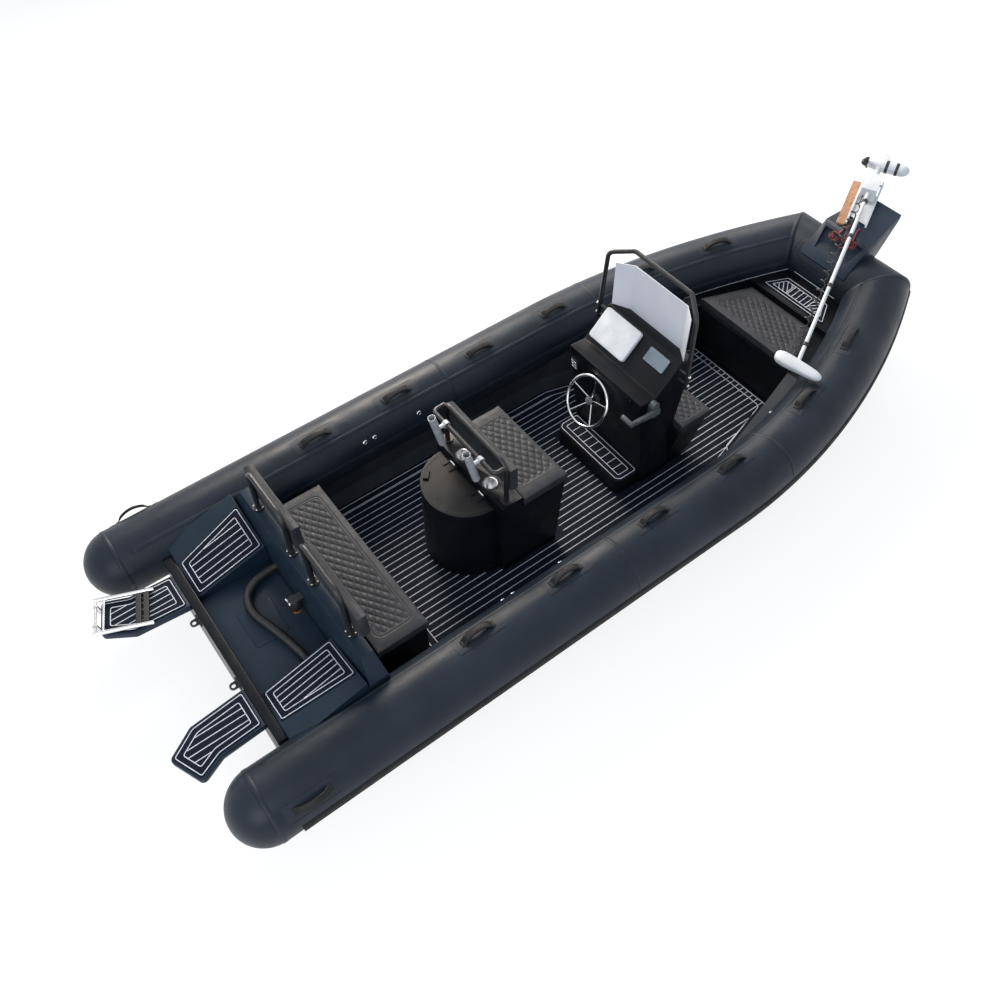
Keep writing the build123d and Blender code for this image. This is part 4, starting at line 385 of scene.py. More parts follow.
def by_handle(handle, along, across, lift):
    """Point by the middle of a handle, a (station, degrees round, side), along, across and off the tube."""
    x, degrees_round, side = handle
    return on_tube(s_at(x) + along, degrees_round + across / TUBE_R * 180 / pi, side, lift)


def patch_outline():
    """Rounded rectangle of a handle's patch, along and across the tube."""
    points = []
    for quarter, (a, b) in enumerate(((1, 1), (-1, 1), (-1, -1), (1, -1))):
        for k in range(5):
            swing = pi / 2 * (quarter + k / 4)
            along = a * (PATCH_LONG - PATCH_CORNER) + PATCH_CORNER * cos(swing)
            points.append((along, b * (PATCH_WIDE - PATCH_CORNER) + PATCH_CORNER * sin(swing)))
    return points


def strap_section(share):
    """Across and lift of the points round a strap, at a share of its half length from its middle."""
    arch = max(0.0, cos(min(abs(share) / 0.86, 1) * pi / 2)) ** 0.75
    under = 0.001 + (STRAP_RISE - STRAP_THICK) * arch
    over = under + (0.005 + STRAP_THICK * min(1, arch * 2.2))
    wide = 0.019 + 0.007 * (1 - min(1, arch * 1.6))
    ridge = GRIP_RIDGE * (1 + cos(share * STRAP_HALF / GRIP_PITCH * 2 * pi)) / 2 if arch > 0.45 else 0
    left = [(-wide, under + 0.001), (-wide, over - 0.003), (-wide + 0.004, over), (-0.006, over + ridge)]
    right = [(-across, lift) for across, lift in reversed(left)]
    return left + right + [(0, under)]


patch_verts, patch_faces = [], []
strap_verts, strap_faces = [], []
for side in SIDES.values():
    for x, degrees_round in HANDLES:
        handle = (x, degrees_round, side)
        rim = patch_outline()
        patch_faces += walls(len(PATCH_RIM), len(rim), len(patch_verts))
        for lift, margin in PATCH_RIM:
            grow = 1 - margin / PATCH_WIDE
            patch_verts += [by_handle(handle, a * grow, b * grow, lift) for a, b in rim]
        top = len(patch_verts)
        cells_long, cells_wide = PATCH_CELLS
        for i in range(cells_long + 1):
            for j in range(cells_wide + 1):
                along = (i / cells_long * 2 - 1) * (PATCH_LONG - PATCH_BORDER)
                across = (j / cells_wide * 2 - 1) * (PATCH_WIDE - PATCH_BORDER)
                patch_verts.append(by_handle(handle, along, across, PATCH_TOP))
        for i in range(cells_long):
            for j in range(cells_wide):
                a = top + i * (cells_wide + 1) + j
                patch_faces.append((a, a + 1, a + cells_wide + 2, a + cells_wide + 1))
        strap_faces += shell(STRAP_STEPS + 1, len(strap_section(0)), len(strap_verts))
        for k in range(STRAP_STEPS + 1):
            share = k / STRAP_STEPS * 2 - 1
            for across, lift in strap_section(share):
                strap_verts.append(by_handle(handle, share * STRAP_HALF, across, lift))
finished("handle_patches", patch_verts, patch_faces, tape_fabric)
finished("handle_straps", strap_verts, strap_faces, rubber_black, replaces=["tube_handles"])

# Hull and cockpit liner: fibreglass mouldings with a dark gelcoat, polished outside and a
# little duller inside, with faint ripples from the mould.


def finish_nodes(material, *names):
    """Gives CAD nodes their finish."""
    for name in names:
        nodes[name].data.materials.clear()
        nodes[name].data.materials.append(material)


gelcoat_dark = coating(
    "gelcoat_dark", (3, 4), ((0.003, 0.0035, 0.005), (0.006, 0.007, 0.010)), (0.26, 0.42, (9, 5)),
    [((4, 2), 0.002), ((160, 3), 0.00012)], gloss=0.18,
)
gelcoat_slate = coating(
    "gelcoat_slate", (3, 5), ((0.008, 0.017, 0.030), (0.015, 0.027, 0.045)), (0.34, 0.5, (10, 5)),
    [((5, 2), 0.0015), ((260, 3), 0.00016)], gloss=0.22,
)
liner_grey = coating(
    "liner_grey", (4, 5), ((0.024, 0.028, 0.034), (0.038, 0.042, 0.048)), (0.4, 0.55, (10, 5)),
    [((260, 3), 0.00016)], slot="gelcoat_slate", gloss=0.22,
)
finish_nodes(gelcoat_dark, "hull", "live_tank", "tank_lid")
finish_nodes(liner_grey, "cockpit_sides")


def evaluated_mesh(piece):
    """Plain mesh of an object with its modifiers as they stand."""
    bpy.context.view_layer.update()
    return bpy.data.meshes.new_from_object(piece.evaluated_get(bpy.context.evaluated_depsgraph_get()))


def softened(node, material, radius, body="hull"):
    """Copy of a hard-edged node with its edges rounded as the mould leaves them."""
    shape = bmesh.new()
    shape.from_mesh(nodes[node].data)
    bmesh.ops.remove_doubles(shape, verts=shape.verts, dist=1e-5)
    bmesh.ops.dissolve_limit(shape, angle_limit=radians(0.6), verts=shape.verts, edges=shape.edges)
    for face in shape.faces:
        face.smooth = True
    mesh = bpy.data.meshes.new(node + "_moulding")
    shape.to_mesh(mesh)
    shape.free()
    holder = in_scene(node + "_copy", mesh)
    edge = holder.modifiers.new("edge", "BEVEL")
    edge.width = radius
    edge.segments = 3
    edge.limit_method = "ANGLE"
    edge.angle_limit = radians(28)
    edge.harden_normals = True
    rounded_mesh = evaluated_mesh(holder)
    bpy.data.objects.remove(holder)
    return placed(node + "_moulding", rounded_mesh, material, body, replaces=[node])


for node in ("bow_block", "transom", "console_step", "bench_base"):
    softened(node, gelcoat_dark, 0.006)
for node in ("well_floor", "well_hatch", "quarter_decks", "platforms", "bulkhead", "bow_plate"):
    softened(node, gelcoat_slate, 0.006)
for node in ("helm_pod", "console", "seat_base"):
    softened(node, gelcoat_dark, 0.012)

# Foam decking: sheets of closed-cell foam glued down. A navy top layer is routed away in lines
# that show the white layer under it, as planks inside a double border.
deck_foam = coating(
    "deck_foam", (30, 5), ((0.002, 0.0035, 0.010), (0.005, 0.008, 0.019)), 0.75,
    [((900, 2, (1, 0.25, 1)), 0.0003), ((120, 3), 0.0002)], gloss=0.16,
)
foam_line = coating(
    "foam_line", (40, 4), ((0.56, 0.58, 0.63), (0.78, 0.80, 0.84)), 0.8,
    [((700, 2), 0.0002)], slot="deck_foam",
)
finish_nodes(deck_foam, "sole_pad", "stern_pads", "foot_pads")


def growth_tree(name, sizes):
    """New geometry tree with named sizes and a finish to set; returns it and its input node."""
    tree = bpy.data.node_groups.new(name, "GeometryNodeTree")
    sockets = [("Geometry", "Geometry"), *((size, "Float") for size in sizes), ("Finish", "Material")]
    for label, kind in sockets:
        tree.interface.new_socket(label, in_out="INPUT", socket_type="NodeSocket" + kind)
    tree.interface.new_socket("Geometry", in_out="OUTPUT", socket_type="NodeSocketGeometry")
    return tree, tree.nodes.new("NodeGroupInput")


def hand_out(tree, given, shape):
    """Ends a geometry tree: realizes a shape, sets its finish and gives it out."""
    realize = tree.nodes.new("GeometryNodeRealizeInstances")
    finish = tree.nodes.new("GeometryNodeSetMaterial")
    result = tree.nodes.new("NodeGroupOutput")
    tree.links.new(shape, realize.inputs["Geometry"])
    tree.links.new(realize.outputs["Geometry"], finish.inputs["Geometry"])
    tree.links.new(given.outputs["Finish"], finish.inputs["Material"])
    tree.links.new(finish.outputs["Geometry"], result.inputs["Geometry"])


def line_sweep():
    """Node tree: sweeps a flat bar of a given width and height along every edge of a mesh."""
    tree, given = growth_tree("routed_line", ("Width", "Height"))
    to_curve = tree.nodes.new("GeometryNodeMeshToCurve")
    upright = tree.nodes.new("GeometryNodeSetCurveNormal")
    upright.mode = "Z_UP"
    profile = tree.nodes.new("GeometryNodeCurvePrimitiveQuadrilateral")
    sweep = tree.nodes.new("GeometryNodeCurveToMesh")
    sweep.inputs["Fill Caps"].default_value = True
    link = tree.links.new
    link(given.outputs["Geometry"], to_curve.inputs["Mesh"])
    link(to_curve.outputs["Curve"], upright.inputs["Curve"])
    link(given.outputs["Width"], profile.inputs["Width"])
    link(given.outputs["Height"], profile.inputs["Height"])
    link(upright.outputs["Curve"], sweep.inputs["Curve"])
    link(profile.outputs["Curve"], sweep.inputs["Profile Curve"])
    hand_out(tree, given, sweep.outputs["Mesh"])
    return tree


def grown(name, guide, tree, values):
    """Runs a node tree on a guide mesh and returns the plain mesh that it makes."""
    holder = in_scene(name + "_guide", guide)
    growth = holder.modifiers.new("growth", "NODES")
    growth.node_group = tree
    for item in tree.interface.items_tree:
        if item.in_out == "INPUT" and item.name in values:
            growth[item.identifier] = values[item.name]
    mesh = evaluated_mesh(holder)
    bpy.data.objects.remove(holder)
    return mesh


routed_line = line_sweep()


def inlaid(name, lines, material, width, height=0.0012, body="hull"):
    """Lines of one width, each a list of points, with True after them for a closed one."""
    verts, edges = [], []
    for points, closed in lines:
        first = len(verts)
        verts += [tuple(p) for p in points]
        edges += [(first + k, first + k + 1) for k in range(len(points) - 1)]
        if closed:
            edges.append((len(verts) - 1, first))
    guide = bpy.data.meshes.new(name)
    guide.from_pydata(verts, edges, [])
    mesh = grown(name, guide, routed_line, {"Width": width, "Height": height, "Finish": material})
    return placed(name, mesh, material, body, smooth=False)


def inset(outline, amount):
    """Plan outline moved inwards by an amount, corners kept sharp."""
    area = sum(a[0] * b[1] - b[0] * a[1] for a, b in zip(outline, outline[1:] + outline[:1]))
    turn = 1 if area > 0 else -1
    moved = []
    count = len(outline)
    for k in range(count):
        before, here, after = outline[k - 1], outline[k], outline[(k + 1) % count]
        d1 = Vector((here[0] - before[0], here[1] - before[1])).normalized()
        d2 = Vector((after[0] - here[0], after[1] - here[1])).normalized()
        n1, n2 = Vector((-d1.y, d1.x)) * turn, Vector((-d2.y, d2.x)) * turn
        spread = (n1 + n2) / max(1 + n1.dot(n2), 0.2)
        moved.append((here[0] + spread.x * amount, here[1] + spread.y * amount))
    return moved


def rounded(outline, radius, steps=5):
    """Plan outline with its corners rounded."""
    points = []
    count = len(outline)
    for k in range(count):
        before, here, after = (Vector(outline[i % count]) for i in (k - 1, k, k + 1))
        d1, d2 = (before - here), (after - here)
        reach = min(radius, d1.length * 0.45, d2.length * 0.45)
        start, end = here + d1.normalized() * reach, here + d2.normalized() * reach
        for step in range(steps + 1):
            t = step / steps
            point = start * (1 - t) ** 2 + here * 2 * t * (1 - t) + end * t**2
            points.append((point.x, point.y))
    return points


def spans(outline, y):
    """Stretches of the line at this y that lie inside a plan outline, along x."""
    cuts = []
    for a, b in zip(outline, outline[1:] + outline[:1]):
        if (a[1] > y) != (b[1] > y):
            cuts.append(a[0] + (b[0] - a[0]) * (y - a[1]) / (b[1] - a[1]))
    cuts.sort()
    return list(zip(cuts[::2], cuts[1::2]))


def lifted(points, height):
    """Plan points set on a surface whose height is given by a function of x and y."""
    return [(x, y, height(x, y)) for x, y in points]


def level(z):
    """Height function of a flat surface."""
    return lambda x, y: z


# the sole: double border, planks that stop at the furniture, and a ladder across its fore end
SOLE_LINE, PAD_LINE = 0.0048, 0.0046
SOLE = [(-1.417, 0.744), (0.5, 0.744), (1.722, 0.392), (1.722, -0.392), (0.5, -0.744), (-1.417, -0.744)]
SOLE_BORDERS = ((0.016, 0.02), (0.062, 0.03))  # margin, corner radius
PLANK_MARGIN = 0.066
PLANK = 0.048
PLANK_ROWS = 14
SHORTEST = 0.03
NUDGE = 1e-6
TANK_X = -0.732
HELM_FORE, HELM_HALF = -0.2, 0.36
CONSOLE = [(0.27, -0.34), (0.27, 0.34), (0.72, 0.35), (0.95, 0.33), (0.95, -0.33), (0.72, -0.35)]
FORE_FRAME = ((1.02, 0.52), (1.16, 0.52), (1.2, 0.47), (1.56, 0.375))
RUNG_AFT, RUNG_FORE, RUNG_ROWS = 1.66, 1.706, 7
on_sole = level(0.062)
sole_lines = []
for margin, corner in SOLE_BORDERS:
    sole_lines.append((lifted(rounded(inset(SOLE, margin), corner), on_sole), True))
tank_r = TANK_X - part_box("live_tank")[0].x
tank_foot = [(TANK_X - tank_r * sin(radians(a)), tank_r * cos(radians(a))) for a in range(0, 181, 10)]
furniture = (tank_foot + [(HELM_FORE, -HELM_HALF), (HELM_FORE, HELM_HALF)], CONSOLE)
for row in range(-PLANK_ROWS, PLANK_ROWS + 1):
    y = row * PLANK
    for start, end in spans(inset(SOLE, PLANK_MARGIN), y):
        stops = [start, end]
        for block in furniture:
            for covered in spans(block, y + NUDGE):
                stops += covered
        stops.sort()
        for a, b in zip(stops[::2], stops[1::2]):
            if b - a > SHORTEST:
                sole_lines.append((lifted([(a, y), (b, y)], on_sole), False))
for side in SIDES.values():
    sole_lines.append((lifted([(x, side * y) for x, y in FORE_FRAME], on_sole), False))
for row in range(-RUNG_ROWS, RUNG_ROWS + 1):
    sole_lines.append((lifted([(RUNG_AFT, row * PLANK), (RUNG_FORE, row * PLANK)], on_sole), False))
inlaid("sole_lines", sole_lines, foam_line, SOLE_LINE)

# the small pads: quarter decks, boarding platforms and console step
PAD_CORNER = 0.012
PAD_BORDERS = (0.008, 0.042)
PAD_PLANKED = 0.045
QUARTER_PAD = ((-1.965, 0.402), (-1.965, 0.700), (-2.412, 0.632), (-2.412, 0.402))
QUARTER_X, QUARTER_Y, QUARTER_Z = -1.95, 0.39, 0.6076
QUARTER_FALL, QUARTER_RISE = 0.261, 0.235
PLATFORM = (
    (-2.490, 0.330), (-2.490, 0.594), (-2.756, 0.609), (-2.904, 0.677), (-2.995, 0.465), (-2.827, 0.358)
)
PLATFORM_TOP = 0.536
STEP = [(0.273, 0.296), (0.307, 0.330), (0.464, 0.330), (0.464, -0.330), (0.307, -0.330), (0.273, -0.296)]
STEP_TOP = 0.203


def pad_lines(name, outline, height, plank):
    """Double border and planks on a small pad."""
    lines = [(lifted(rounded(inset(outline, margin), PAD_CORNER), height), True) for margin in PAD_BORDERS]
    edge = inset(outline, PAD_PLANKED)
    ys = [y for _, y in edge]
    count = int((max(ys) - min(ys)) / plank)
    first = (max(ys) + min(ys)) / 2 - (count - 1) * plank / 2
    for row in range(count):
        y = first + row * plank
        lines += [(lifted([(a, y), (b, y)], height), False) for a, b in spans(edge, y + NUDGE)]
    return inlaid(name, lines, foam_line, PAD_LINE)


def quarter_slope(x, y):
    """Height of a quarter pad, which falls towards the stern and rises outboard."""
    return QUARTER_Z + QUARTER_FALL * (x - QUARTER_X) + QUARTER_RISE * (abs(y) - QUARTER_Y)


for label, side in SIDES.items():
    quarter, platform = ([(x, side * y) for x, y in pad] for pad in (QUARTER_PAD, PLATFORM))
    pad_lines(f"quarter_pad_lines_{label}", quarter, quarter_slope, 0.042)
    pad_lines(f"platform_pad_lines_{label}", inset(platform, 0.016), level(PLATFORM_TOP), 0.042)
pad_lines("step_pad_lines", inset(STEP, 0.008), level(STEP_TOP), 0.062)

# the bow pad: a plain ladder in its middle and slanted lines in a wing each side
BOW_PAD_LENGTH, BOW_PAD_AFT, BOW_PAD_FORE = 0.165, 0.293, 0.194
BOW_PAD_RISE = 0.1415
BOW_PAD_BORDERS = (0.008, 0.034)
BOW_PAD_WING = 0.1
BOW_PAD_LEAN = 0.8
BOW_PAD_PITCH = 0.04
foot_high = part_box("foot_pads")[1]


def bow_slope(x, y):
    """Height of the bow pad, which climbs towards the bow."""
    return foot_high.z - (foot_high.x - x) * BOW_PAD_RISE


def slanted(outline, lean, pitch, height):
    """Lines across a pad at a slant; lean is their step across for each metre along."""
    leaned = [(x, y - lean * x) for x, y in outline]
    lowest, highest = min(y for _, y in leaned), max(y for _, y in leaned)
    lines = []
    for row in range(1, int((highest - lowest) / pitch) + 1):
        y = lowest + row * pitch - pitch / 3
        for a, b in spans(leaned, y):
            lines.append((lifted([(a, y + lean * a), (b, y + lean * b)], height), False))
    return lines


bow_pad = [(foot_high.x - BOW_PAD_LENGTH, BOW_PAD_AFT), (foot_high.x, BOW_PAD_FORE)]
bow_pad += [(x, -y) for x, y in reversed(bow_pad)]
bow_lines = []
for margin in BOW_PAD_BORDERS:
    bow_lines.append((lifted(rounded(inset(bow_pad, margin), PAD_CORNER), bow_slope), True))
(x0, y0), (x1, y1) = inset(bow_pad, BOW_PAD_BORDERS[1])[:2]
for side in SIDES.values():
    inner = side * BOW_PAD_WING
    bow_lines.append((lifted([(x0, inner), (x1, inner)], bow_slope), False))
    wing = [(x0, inner), (x0, side * y0), (x1, side * y1), (x1, inner)]
    bow_lines += slanted(wing, side * BOW_PAD_LEAN, BOW_PAD_PITCH, bow_slope)
middle = [(x0, BOW_PAD_WING), (x1, BOW_PAD_WING), (x1, -BOW_PAD_WING), (x0, -BOW_PAD_WING)]
bow_lines += slanted(middle, 0, BOW_PAD_PITCH, bow_slope)
inlaid("bow_pad_lines", bow_lines, foam_line, PAD_LINE)

# Metal and plastic fittings: polished stainless steel wheel, ladder, hinges and cup holders, grey
# rod holders, black coated hoops, and black moulded controls, treads, eyes and propeller.
stainless = coating(
    "stainless", (14, 4), ((0.66, 0.66, 0.67), (0.80, 0.80, 0.81)), (0.10, 0.26, (40, 5)),
    [((800, 2, (1, 8, 1)), 0.00004)], metallic=1.0,
)
rod_grey = coating(
    "rod_grey", (20, 4), ((0.44, 0.45, 0.47), (0.58, 0.59, 0.61)), (0.28, 0.42, (60, 4)),
    slot="stainless", metallic=0.35,
)
tube_black = coating(
    "tube_black", (18, 4), ((0.008, 0.008, 0.009), (0.016, 0.016, 0.018)), (0.3, 0.45, (60, 4)),
    [((700, 2), 0.00012)],
)
plastic_black = coating(
    "plastic_black", (20, 4), ((0.009, 0.009, 0.010), (0.018, 0.018, 0.020)), (0.4, 0.58, (50, 4)),
    [((600, 2), 0.0002)],
)
lever_grey = coating(
    "lever_grey", (30, 4), ((0.055, 0.062, 0.066), (0.09, 0.10, 0.105)), 0.45,
    [((600, 2), 0.0002)], slot="plastic_black", gloss=0.4,
)
finish_nodes(stainless, "ladder_hinge", "cup_holders", "lid_hinge", "steering_wheel", "boarding_ladder")
finish_nodes(rod_grey, "rod_holders")
finish_nodes(tube_black, "backrest_frames", "helm_hoop", "windscreen_frame")
finish_nodes(plastic_black, "ladder_treads", "switch_panel", "helm_boss", "tow_eyes", "propeller")
softened("throttle_control", lever_grey, 0.004)

# Electric motor: gloss white mouldings and a white tube shaft, a little grey with handling, on a
# rough timber packer. The dash's white cover is moulded alike, beside its glass gauge.
paint_white = coating(
    "paint_white", (12, 5), ((0.64, 0.66, 0.68), (0.74, 0.76, 0.78)), (0.24, 0.4, (30, 4)),
    [((120, 3), 0.0002)],
)
plastic_white = paint_white.copy()
plastic_white["slot"] = "plastic_white"
timber = coating(
    "timber", (26, 6, (0.6, 4, 4)), ((0.30, 0.15, 0.08), (0.52, 0.29, 0.17)), 0.7,
    [((60, 5, (0.4, 5, 5)), 0.0008)],
)
display_glass = coating(
    "display_glass", (8, 3), ((0.14, 0.18, 0.22), (0.20, 0.25, 0.29)), (0.08, 0.2, (30, 3))
)
finish_nodes(paint_white, "motor_lower_unit")
finish_nodes(plastic_white, "motor_shaft")
finish_nodes(timber, "timber_packer")
finish_nodes(display_glass, "gauge_display")
softened("motor_bracket", paint_white, 0.003)
softened("motor_housing", paint_white, 0.008, "motor_arm")
softened("display_cover", plastic_white, 0.006)

# Windscreen: a sheet of acrylic in three flats, still under its milky protective film, so that it
# shows as a pale grey sheet with only a little light through it.
screen_clear = coating(
    "screen_clear", (3, 4), ((0.84, 0.84, 0.89), (0.92, 0.92, 0.95)), (0.30, 0.36, (6, 4)),
    settings={"Transmission Weight": 0.12, "IOR": 1.3},
)
finish_nodes(screen_clear, "windscreen_glass")

# Upholstery: foam cushions in dark marine vinyl, each a quilted panel sewn inside a plain border.
# A short cloth simulation blows the cover up; the diamonds and seams are pressed in afterwards.
upholstery = coating(
    "upholstery", (10, 4), ((0.023, 0.025, 0.030), (0.036, 0.038, 0.043)), (0.44, 0.6, (25, 4)),
    [((380, 4), 0.0004), ((60, 2), 0.0008)], gloss=0.24,
)
DIAMOND_LONG, DIAMOND_WIDE = 0.050, 0.074
QUILT_DEPTH, QUILT_FADE = 0.008, 0.012
SEAM_DEPTH, SEAM_WIDTH = 0.003, 0.004
PANEL_CORNER = 0.03
COVER_CELL = 0.032
COVER_EDGE = 0.013
COVER_SHRINK, COVER_SWELL = 0.003, 0.009
STUFFING_PRESSURE, STUFFING_FRAMES = 4, 20


def cover_steps(length):
    """Shares along one side of a cover: a narrow cell at each end, even cells between."""
    edge = COVER_EDGE / length
    cells = max(2, round((length - 2 * COVER_EDGE) / COVER_CELL))
    return [0] + [edge + (1 - 2 * edge) * k / cells for k in range(cells + 1)] + [1]


def stuffed(name, corners, thick, levels=3):
    """Cover cut to a flat quadrilateral and blown up along its normal; returns the fine mesh.

    corners are the resting face's four corners, counter-clockwise seen from the outer face.
    """
    a, b, c, d = (Vector(corner) for corner in corners)
    normal = (b - a).cross(d - a).normalized()
    us = cover_steps((b - a).length)
    vs = cover_steps(((d - a).length + (c - b).length) / 2)
    ws = cover_steps(thick)
    shape = bmesh.new()
    grid = {}
    for i, u in enumerate(us):
        for j, v in enumerate(vs):
            for k, w in enumerate(ws):
                if i in (0, len(us) - 1) or j in (0, len(vs) - 1) or k in (0, len(ws) - 1):
                    place = a.lerp(b, u).lerp(d.lerp(c, u), v) + normal * (thick * w)
                    grid[i, j, k] = shape.verts.new(place)
    counts = (len(us), len(vs), len(ws))
    for axis in range(3):
        one, two = [other for other in range(3) if other != axis]
        for end in (0, counts[axis] - 1):
            for m in range(counts[one] - 1):
                for n in range(counts[two] - 1):
                    ring = []
                    for dm, dn in ((0, 0), (1, 0), (1, 1), (0, 1)):
                        key = [0, 0, 0]
                        key[axis], key[one], key[two] = end, m + dm, n + dn
                        ring.append(grid[tuple(key)])
                    shape.faces.new(ring)
    bmesh.ops.recalc_face_normals(shape, faces=shape.faces)
    shape.normal_update()
    for vert in shape.verts:
        vert.co -= vert.normal * COVER_SHRINK
    mesh = bpy.data.meshes.new(name)
    shape.to_mesh(mesh)
    shape.free()
    pad = in_scene(name + "_cover", mesh)
    start = [vert.co.copy() for vert in mesh.vertices]
    stuffing = pad.modifiers.new("stuffing", "CLOTH")
    stuffing.settings.use_pressure = True
    stuffing.settings.uniform_pressure_force = STUFFING_PRESSURE
    stuffing.settings.effector_weights.gravity = 0
    for moment in range(1, STUFFING_FRAMES + 1):
        bpy.context.scene.frame_set(moment)
    blown = evaluated_mesh(pad)
    pad.modifiers.remove(stuffing)
    bpy.context.scene.frame_set(1)
    for vert, here, there in zip(mesh.vertices, start, blown.vertices):
        move = there.co - here
        vert.co = here + move * min(1, COVER_SWELL / max(move.length, 1e-9))
    fine = pad.modifiers.new("fine", "SUBSURF")
    fine.levels = fine.render_levels = levels
    cover = evaluated_mesh(pad)
    bpy.data.objects.remove(pad)
    return cover


def past_edge(outline, u, v):
    """Distance of a plan point outside a convex, counter-clockwise outline with rounded corners."""
    gaps = []
    for a, b in zip(outline, outline[1:] + outline[:1]):
        run = hypot(b[0] - a[0], b[1] - a[1])
        gaps.append(((b[1] - a[1]) * (u - a[0]) - (b[0] - a[0]) * (v - a[1])) / run)
    gaps.sort()
    nearest, second = gaps[-1], gaps[-2]
    if second > -PANEL_CORNER:
        return hypot(nearest + PANEL_CORNER, second + PANEL_CORNER) - PANEL_CORNER
    return nearest


def quilted(cover, panel, low, seams):
    """Presses diamonds into a cushion's top inside a plan panel, and seams round it; flat below."""
    facings = [vert.normal.z for vert in cover.vertices]
    for vert, facing in zip(cover.vertices, facings):
        x, y, _ = vert.co
        if facing > 0.35:
            gap = past_edge(panel, x, y)
            drop = 0.0
            if gap < 0:
                u, v = x / DIAMOND_LONG + y / DIAMOND_WIDE, x / DIAMOND_LONG - y / DIAMOND_WIDE
                pillow = (abs(sin(pi * u)) * abs(sin(pi * v))) ** 0.42
                drop = QUILT_DEPTH * (1 - pillow) * min(1, -gap / QUILT_FADE)
            for seam in seams:
                drop = max(drop, SEAM_DEPTH * exp(-(((gap - seam) / SEAM_WIDTH) ** 2)))
            vert.co.z -= drop * facing
        vert.co.z = max(vert.co.z, low)
    return cover


def top_cushion(name, node, outline, panel, seams=(0.0,)):
    """Seat cushion with a quilted top, on a counter-clockwise plan outline."""
    low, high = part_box(node)
    cover = stuffed(name, [(x, y, low.z) for x, y in outline], high.z - low.z)
    cushion = placed(name, quilted(cover, panel, low.z, seams), upholstery, replaces=[node])


def plan_box(node, fore=0.0, aft=0.0, sides=0.0):
    """Plan rectangle inside a node's box, by its margins."""
    low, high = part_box(node)
    x0, x1, y0, y1 = low.x + aft, high.x - fore, low.y + sides, high.y - sides
    return [(x0, y0), (x1, y0), (x1, y1), (x0, y1)]


# piece, node, the panel's margins at fore, aft and side edges, how far its seams lie outside it
SEATS = (
    ("bench_seat", "bench_cushion", (0.075, 0.075, 0.1), (0.0, 0.016)),
    ("helm_seat", "helm_cushion", (0.032, 0.045, 0.105), (0.0,)),
    ("forward_seat", "seat_cushion", (0.045, 0.05, 0.05), (0.0,)),
)
for name, node, margins, seams in SEATS:
    top_cushion(name, node, plan_box(node), plan_box(node, *margins), seams)
BOW_SEAT_AFT, BOW_SEAT_FORE = 0.458, 0.310


def bow_outline(ends, sides):
    """Plan of the bow seat, moved in by a margin at its ends and at its sides."""
    low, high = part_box("bow_cushion")
    aft, fore = BOW_SEAT_AFT - sides, BOW_SEAT_FORE - sides
    return [(low.x + ends, -aft), (high.x - ends, -fore), (high.x - ends, fore), (low.x + ends, aft)]


top_cushion("bow_seat", "bow_cushion", bow_outline(0, 0), bow_outline(0.055, 0.1))

# Backrests: narrow padded rolls of the same vinyl, clipped to the hoops, with one sewn channel
# along the middle of the front face.
CHANNEL_DEPTH, CHANNEL_WIDTH = 0.006, 0.01
PAD_SPAN = 0.584


def rolled(name, node, low, high):
    """Backrest pad in a box, with a channel along its front."""
    face = ((low.y, low.z), (high.y, low.z), (high.y, high.z), (low.y, high.z))
    corners = [(low.x, y, z) for y, z in face]
    cover = stuffed(name, corners, high.x - low.x, levels=2)
    middle = (low.z + high.z) / 2
    facings = [vert.normal.x for vert in cover.vertices]
    for vert, facing in zip(cover.vertices, facings):
        if facing > 0.4:
            vert.co.x -= CHANNEL_DEPTH * exp(-(((vert.co.z - middle) / CHANNEL_WIDTH) ** 2))
        vert.co.x = max(vert.co.x, low.x)
    pad = placed(name, cover, upholstery, replaces=[node])


pad_low, pad_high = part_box("backrest_pads")
for label, side in SIDES.items():
    inner, outer = sorted((side * pad_high.y, side * (pad_high.y - PAD_SPAN)))
    low, high = Vector((pad_low.x, inner, pad_low.z)), Vector((pad_high.x, outer, pad_high.z))
    rolled(f"backrest_{label}", "backrest_pads", low, high)
rolled("backrest_helm", "helm_backrest", *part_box("helm_backrest"))

# Supply lead: red insulated wire that leaves the bow plate, hangs in a loop over the recess's
# slope and goes back in.
lead_red = coating("lead_red", (90, 3), ((0.22, 0.012, 0.012), (0.36, 0.03, 0.03)), 0.45)
LEAD_R = 0.005
# forward of the mitre's middle, across the boat, above it
LEAD_ROUTE = (
    (0.100, 0.020, 0.3425), (0.060, 0.034, 0.336), (0.016, 0.040, 0.332), (-0.028, 0.052, 0.293),
    (-0.062, 0.030, 0.256), (-0.078, -0.012, 0.240), (-0.062, -0.054, 0.256), (-0.028, -0.076, 0.293),
    (0.016, -0.064, 0.332), (0.054, -0.044, 0.335), (0.088, -0.040, 0.341),
)


def smooth_line(name, points, resolution):
    """Smooth curve guided by a route's points."""
    line = bpy.data.curves.new(name, "CURVE")
    line.dimensions = "3D"
    spline = line.splines.new("NURBS")
    spline.points.add(len(points) - 1)
    for point, place in zip(spline.points, points):
        point.co = (*place, 1)
    spline.order_u = 3
    spline.use_endpoint_u = True
    spline.resolution_u = resolution
    return line


def line_length(line):
    """Length of a cord's centreline, and the points along it."""
    bare = line.copy()
    bare.bevel_depth = 0
    holder = in_scene("measure", bare)
    points = [vert.co.copy() for vert in evaluated_mesh(holder).vertices]
    bpy.data.objects.remove(holder)
    return sum((b - a).length for a, b in zip(points, points[1:])), points


def cord_line(name, points, radius, material, body="hull", replaces=()):
    """Smooth round cord on a route's points; returns the piece and its length."""
    line = smooth_line(name, points, 8)
    line.bevel_depth = radius
    line.bevel_resolution = 4
    line.use_fill_caps = True
    line.materials.append(material)
    return declared(in_scene(name, line), body, replaces), line_length(line)[0]


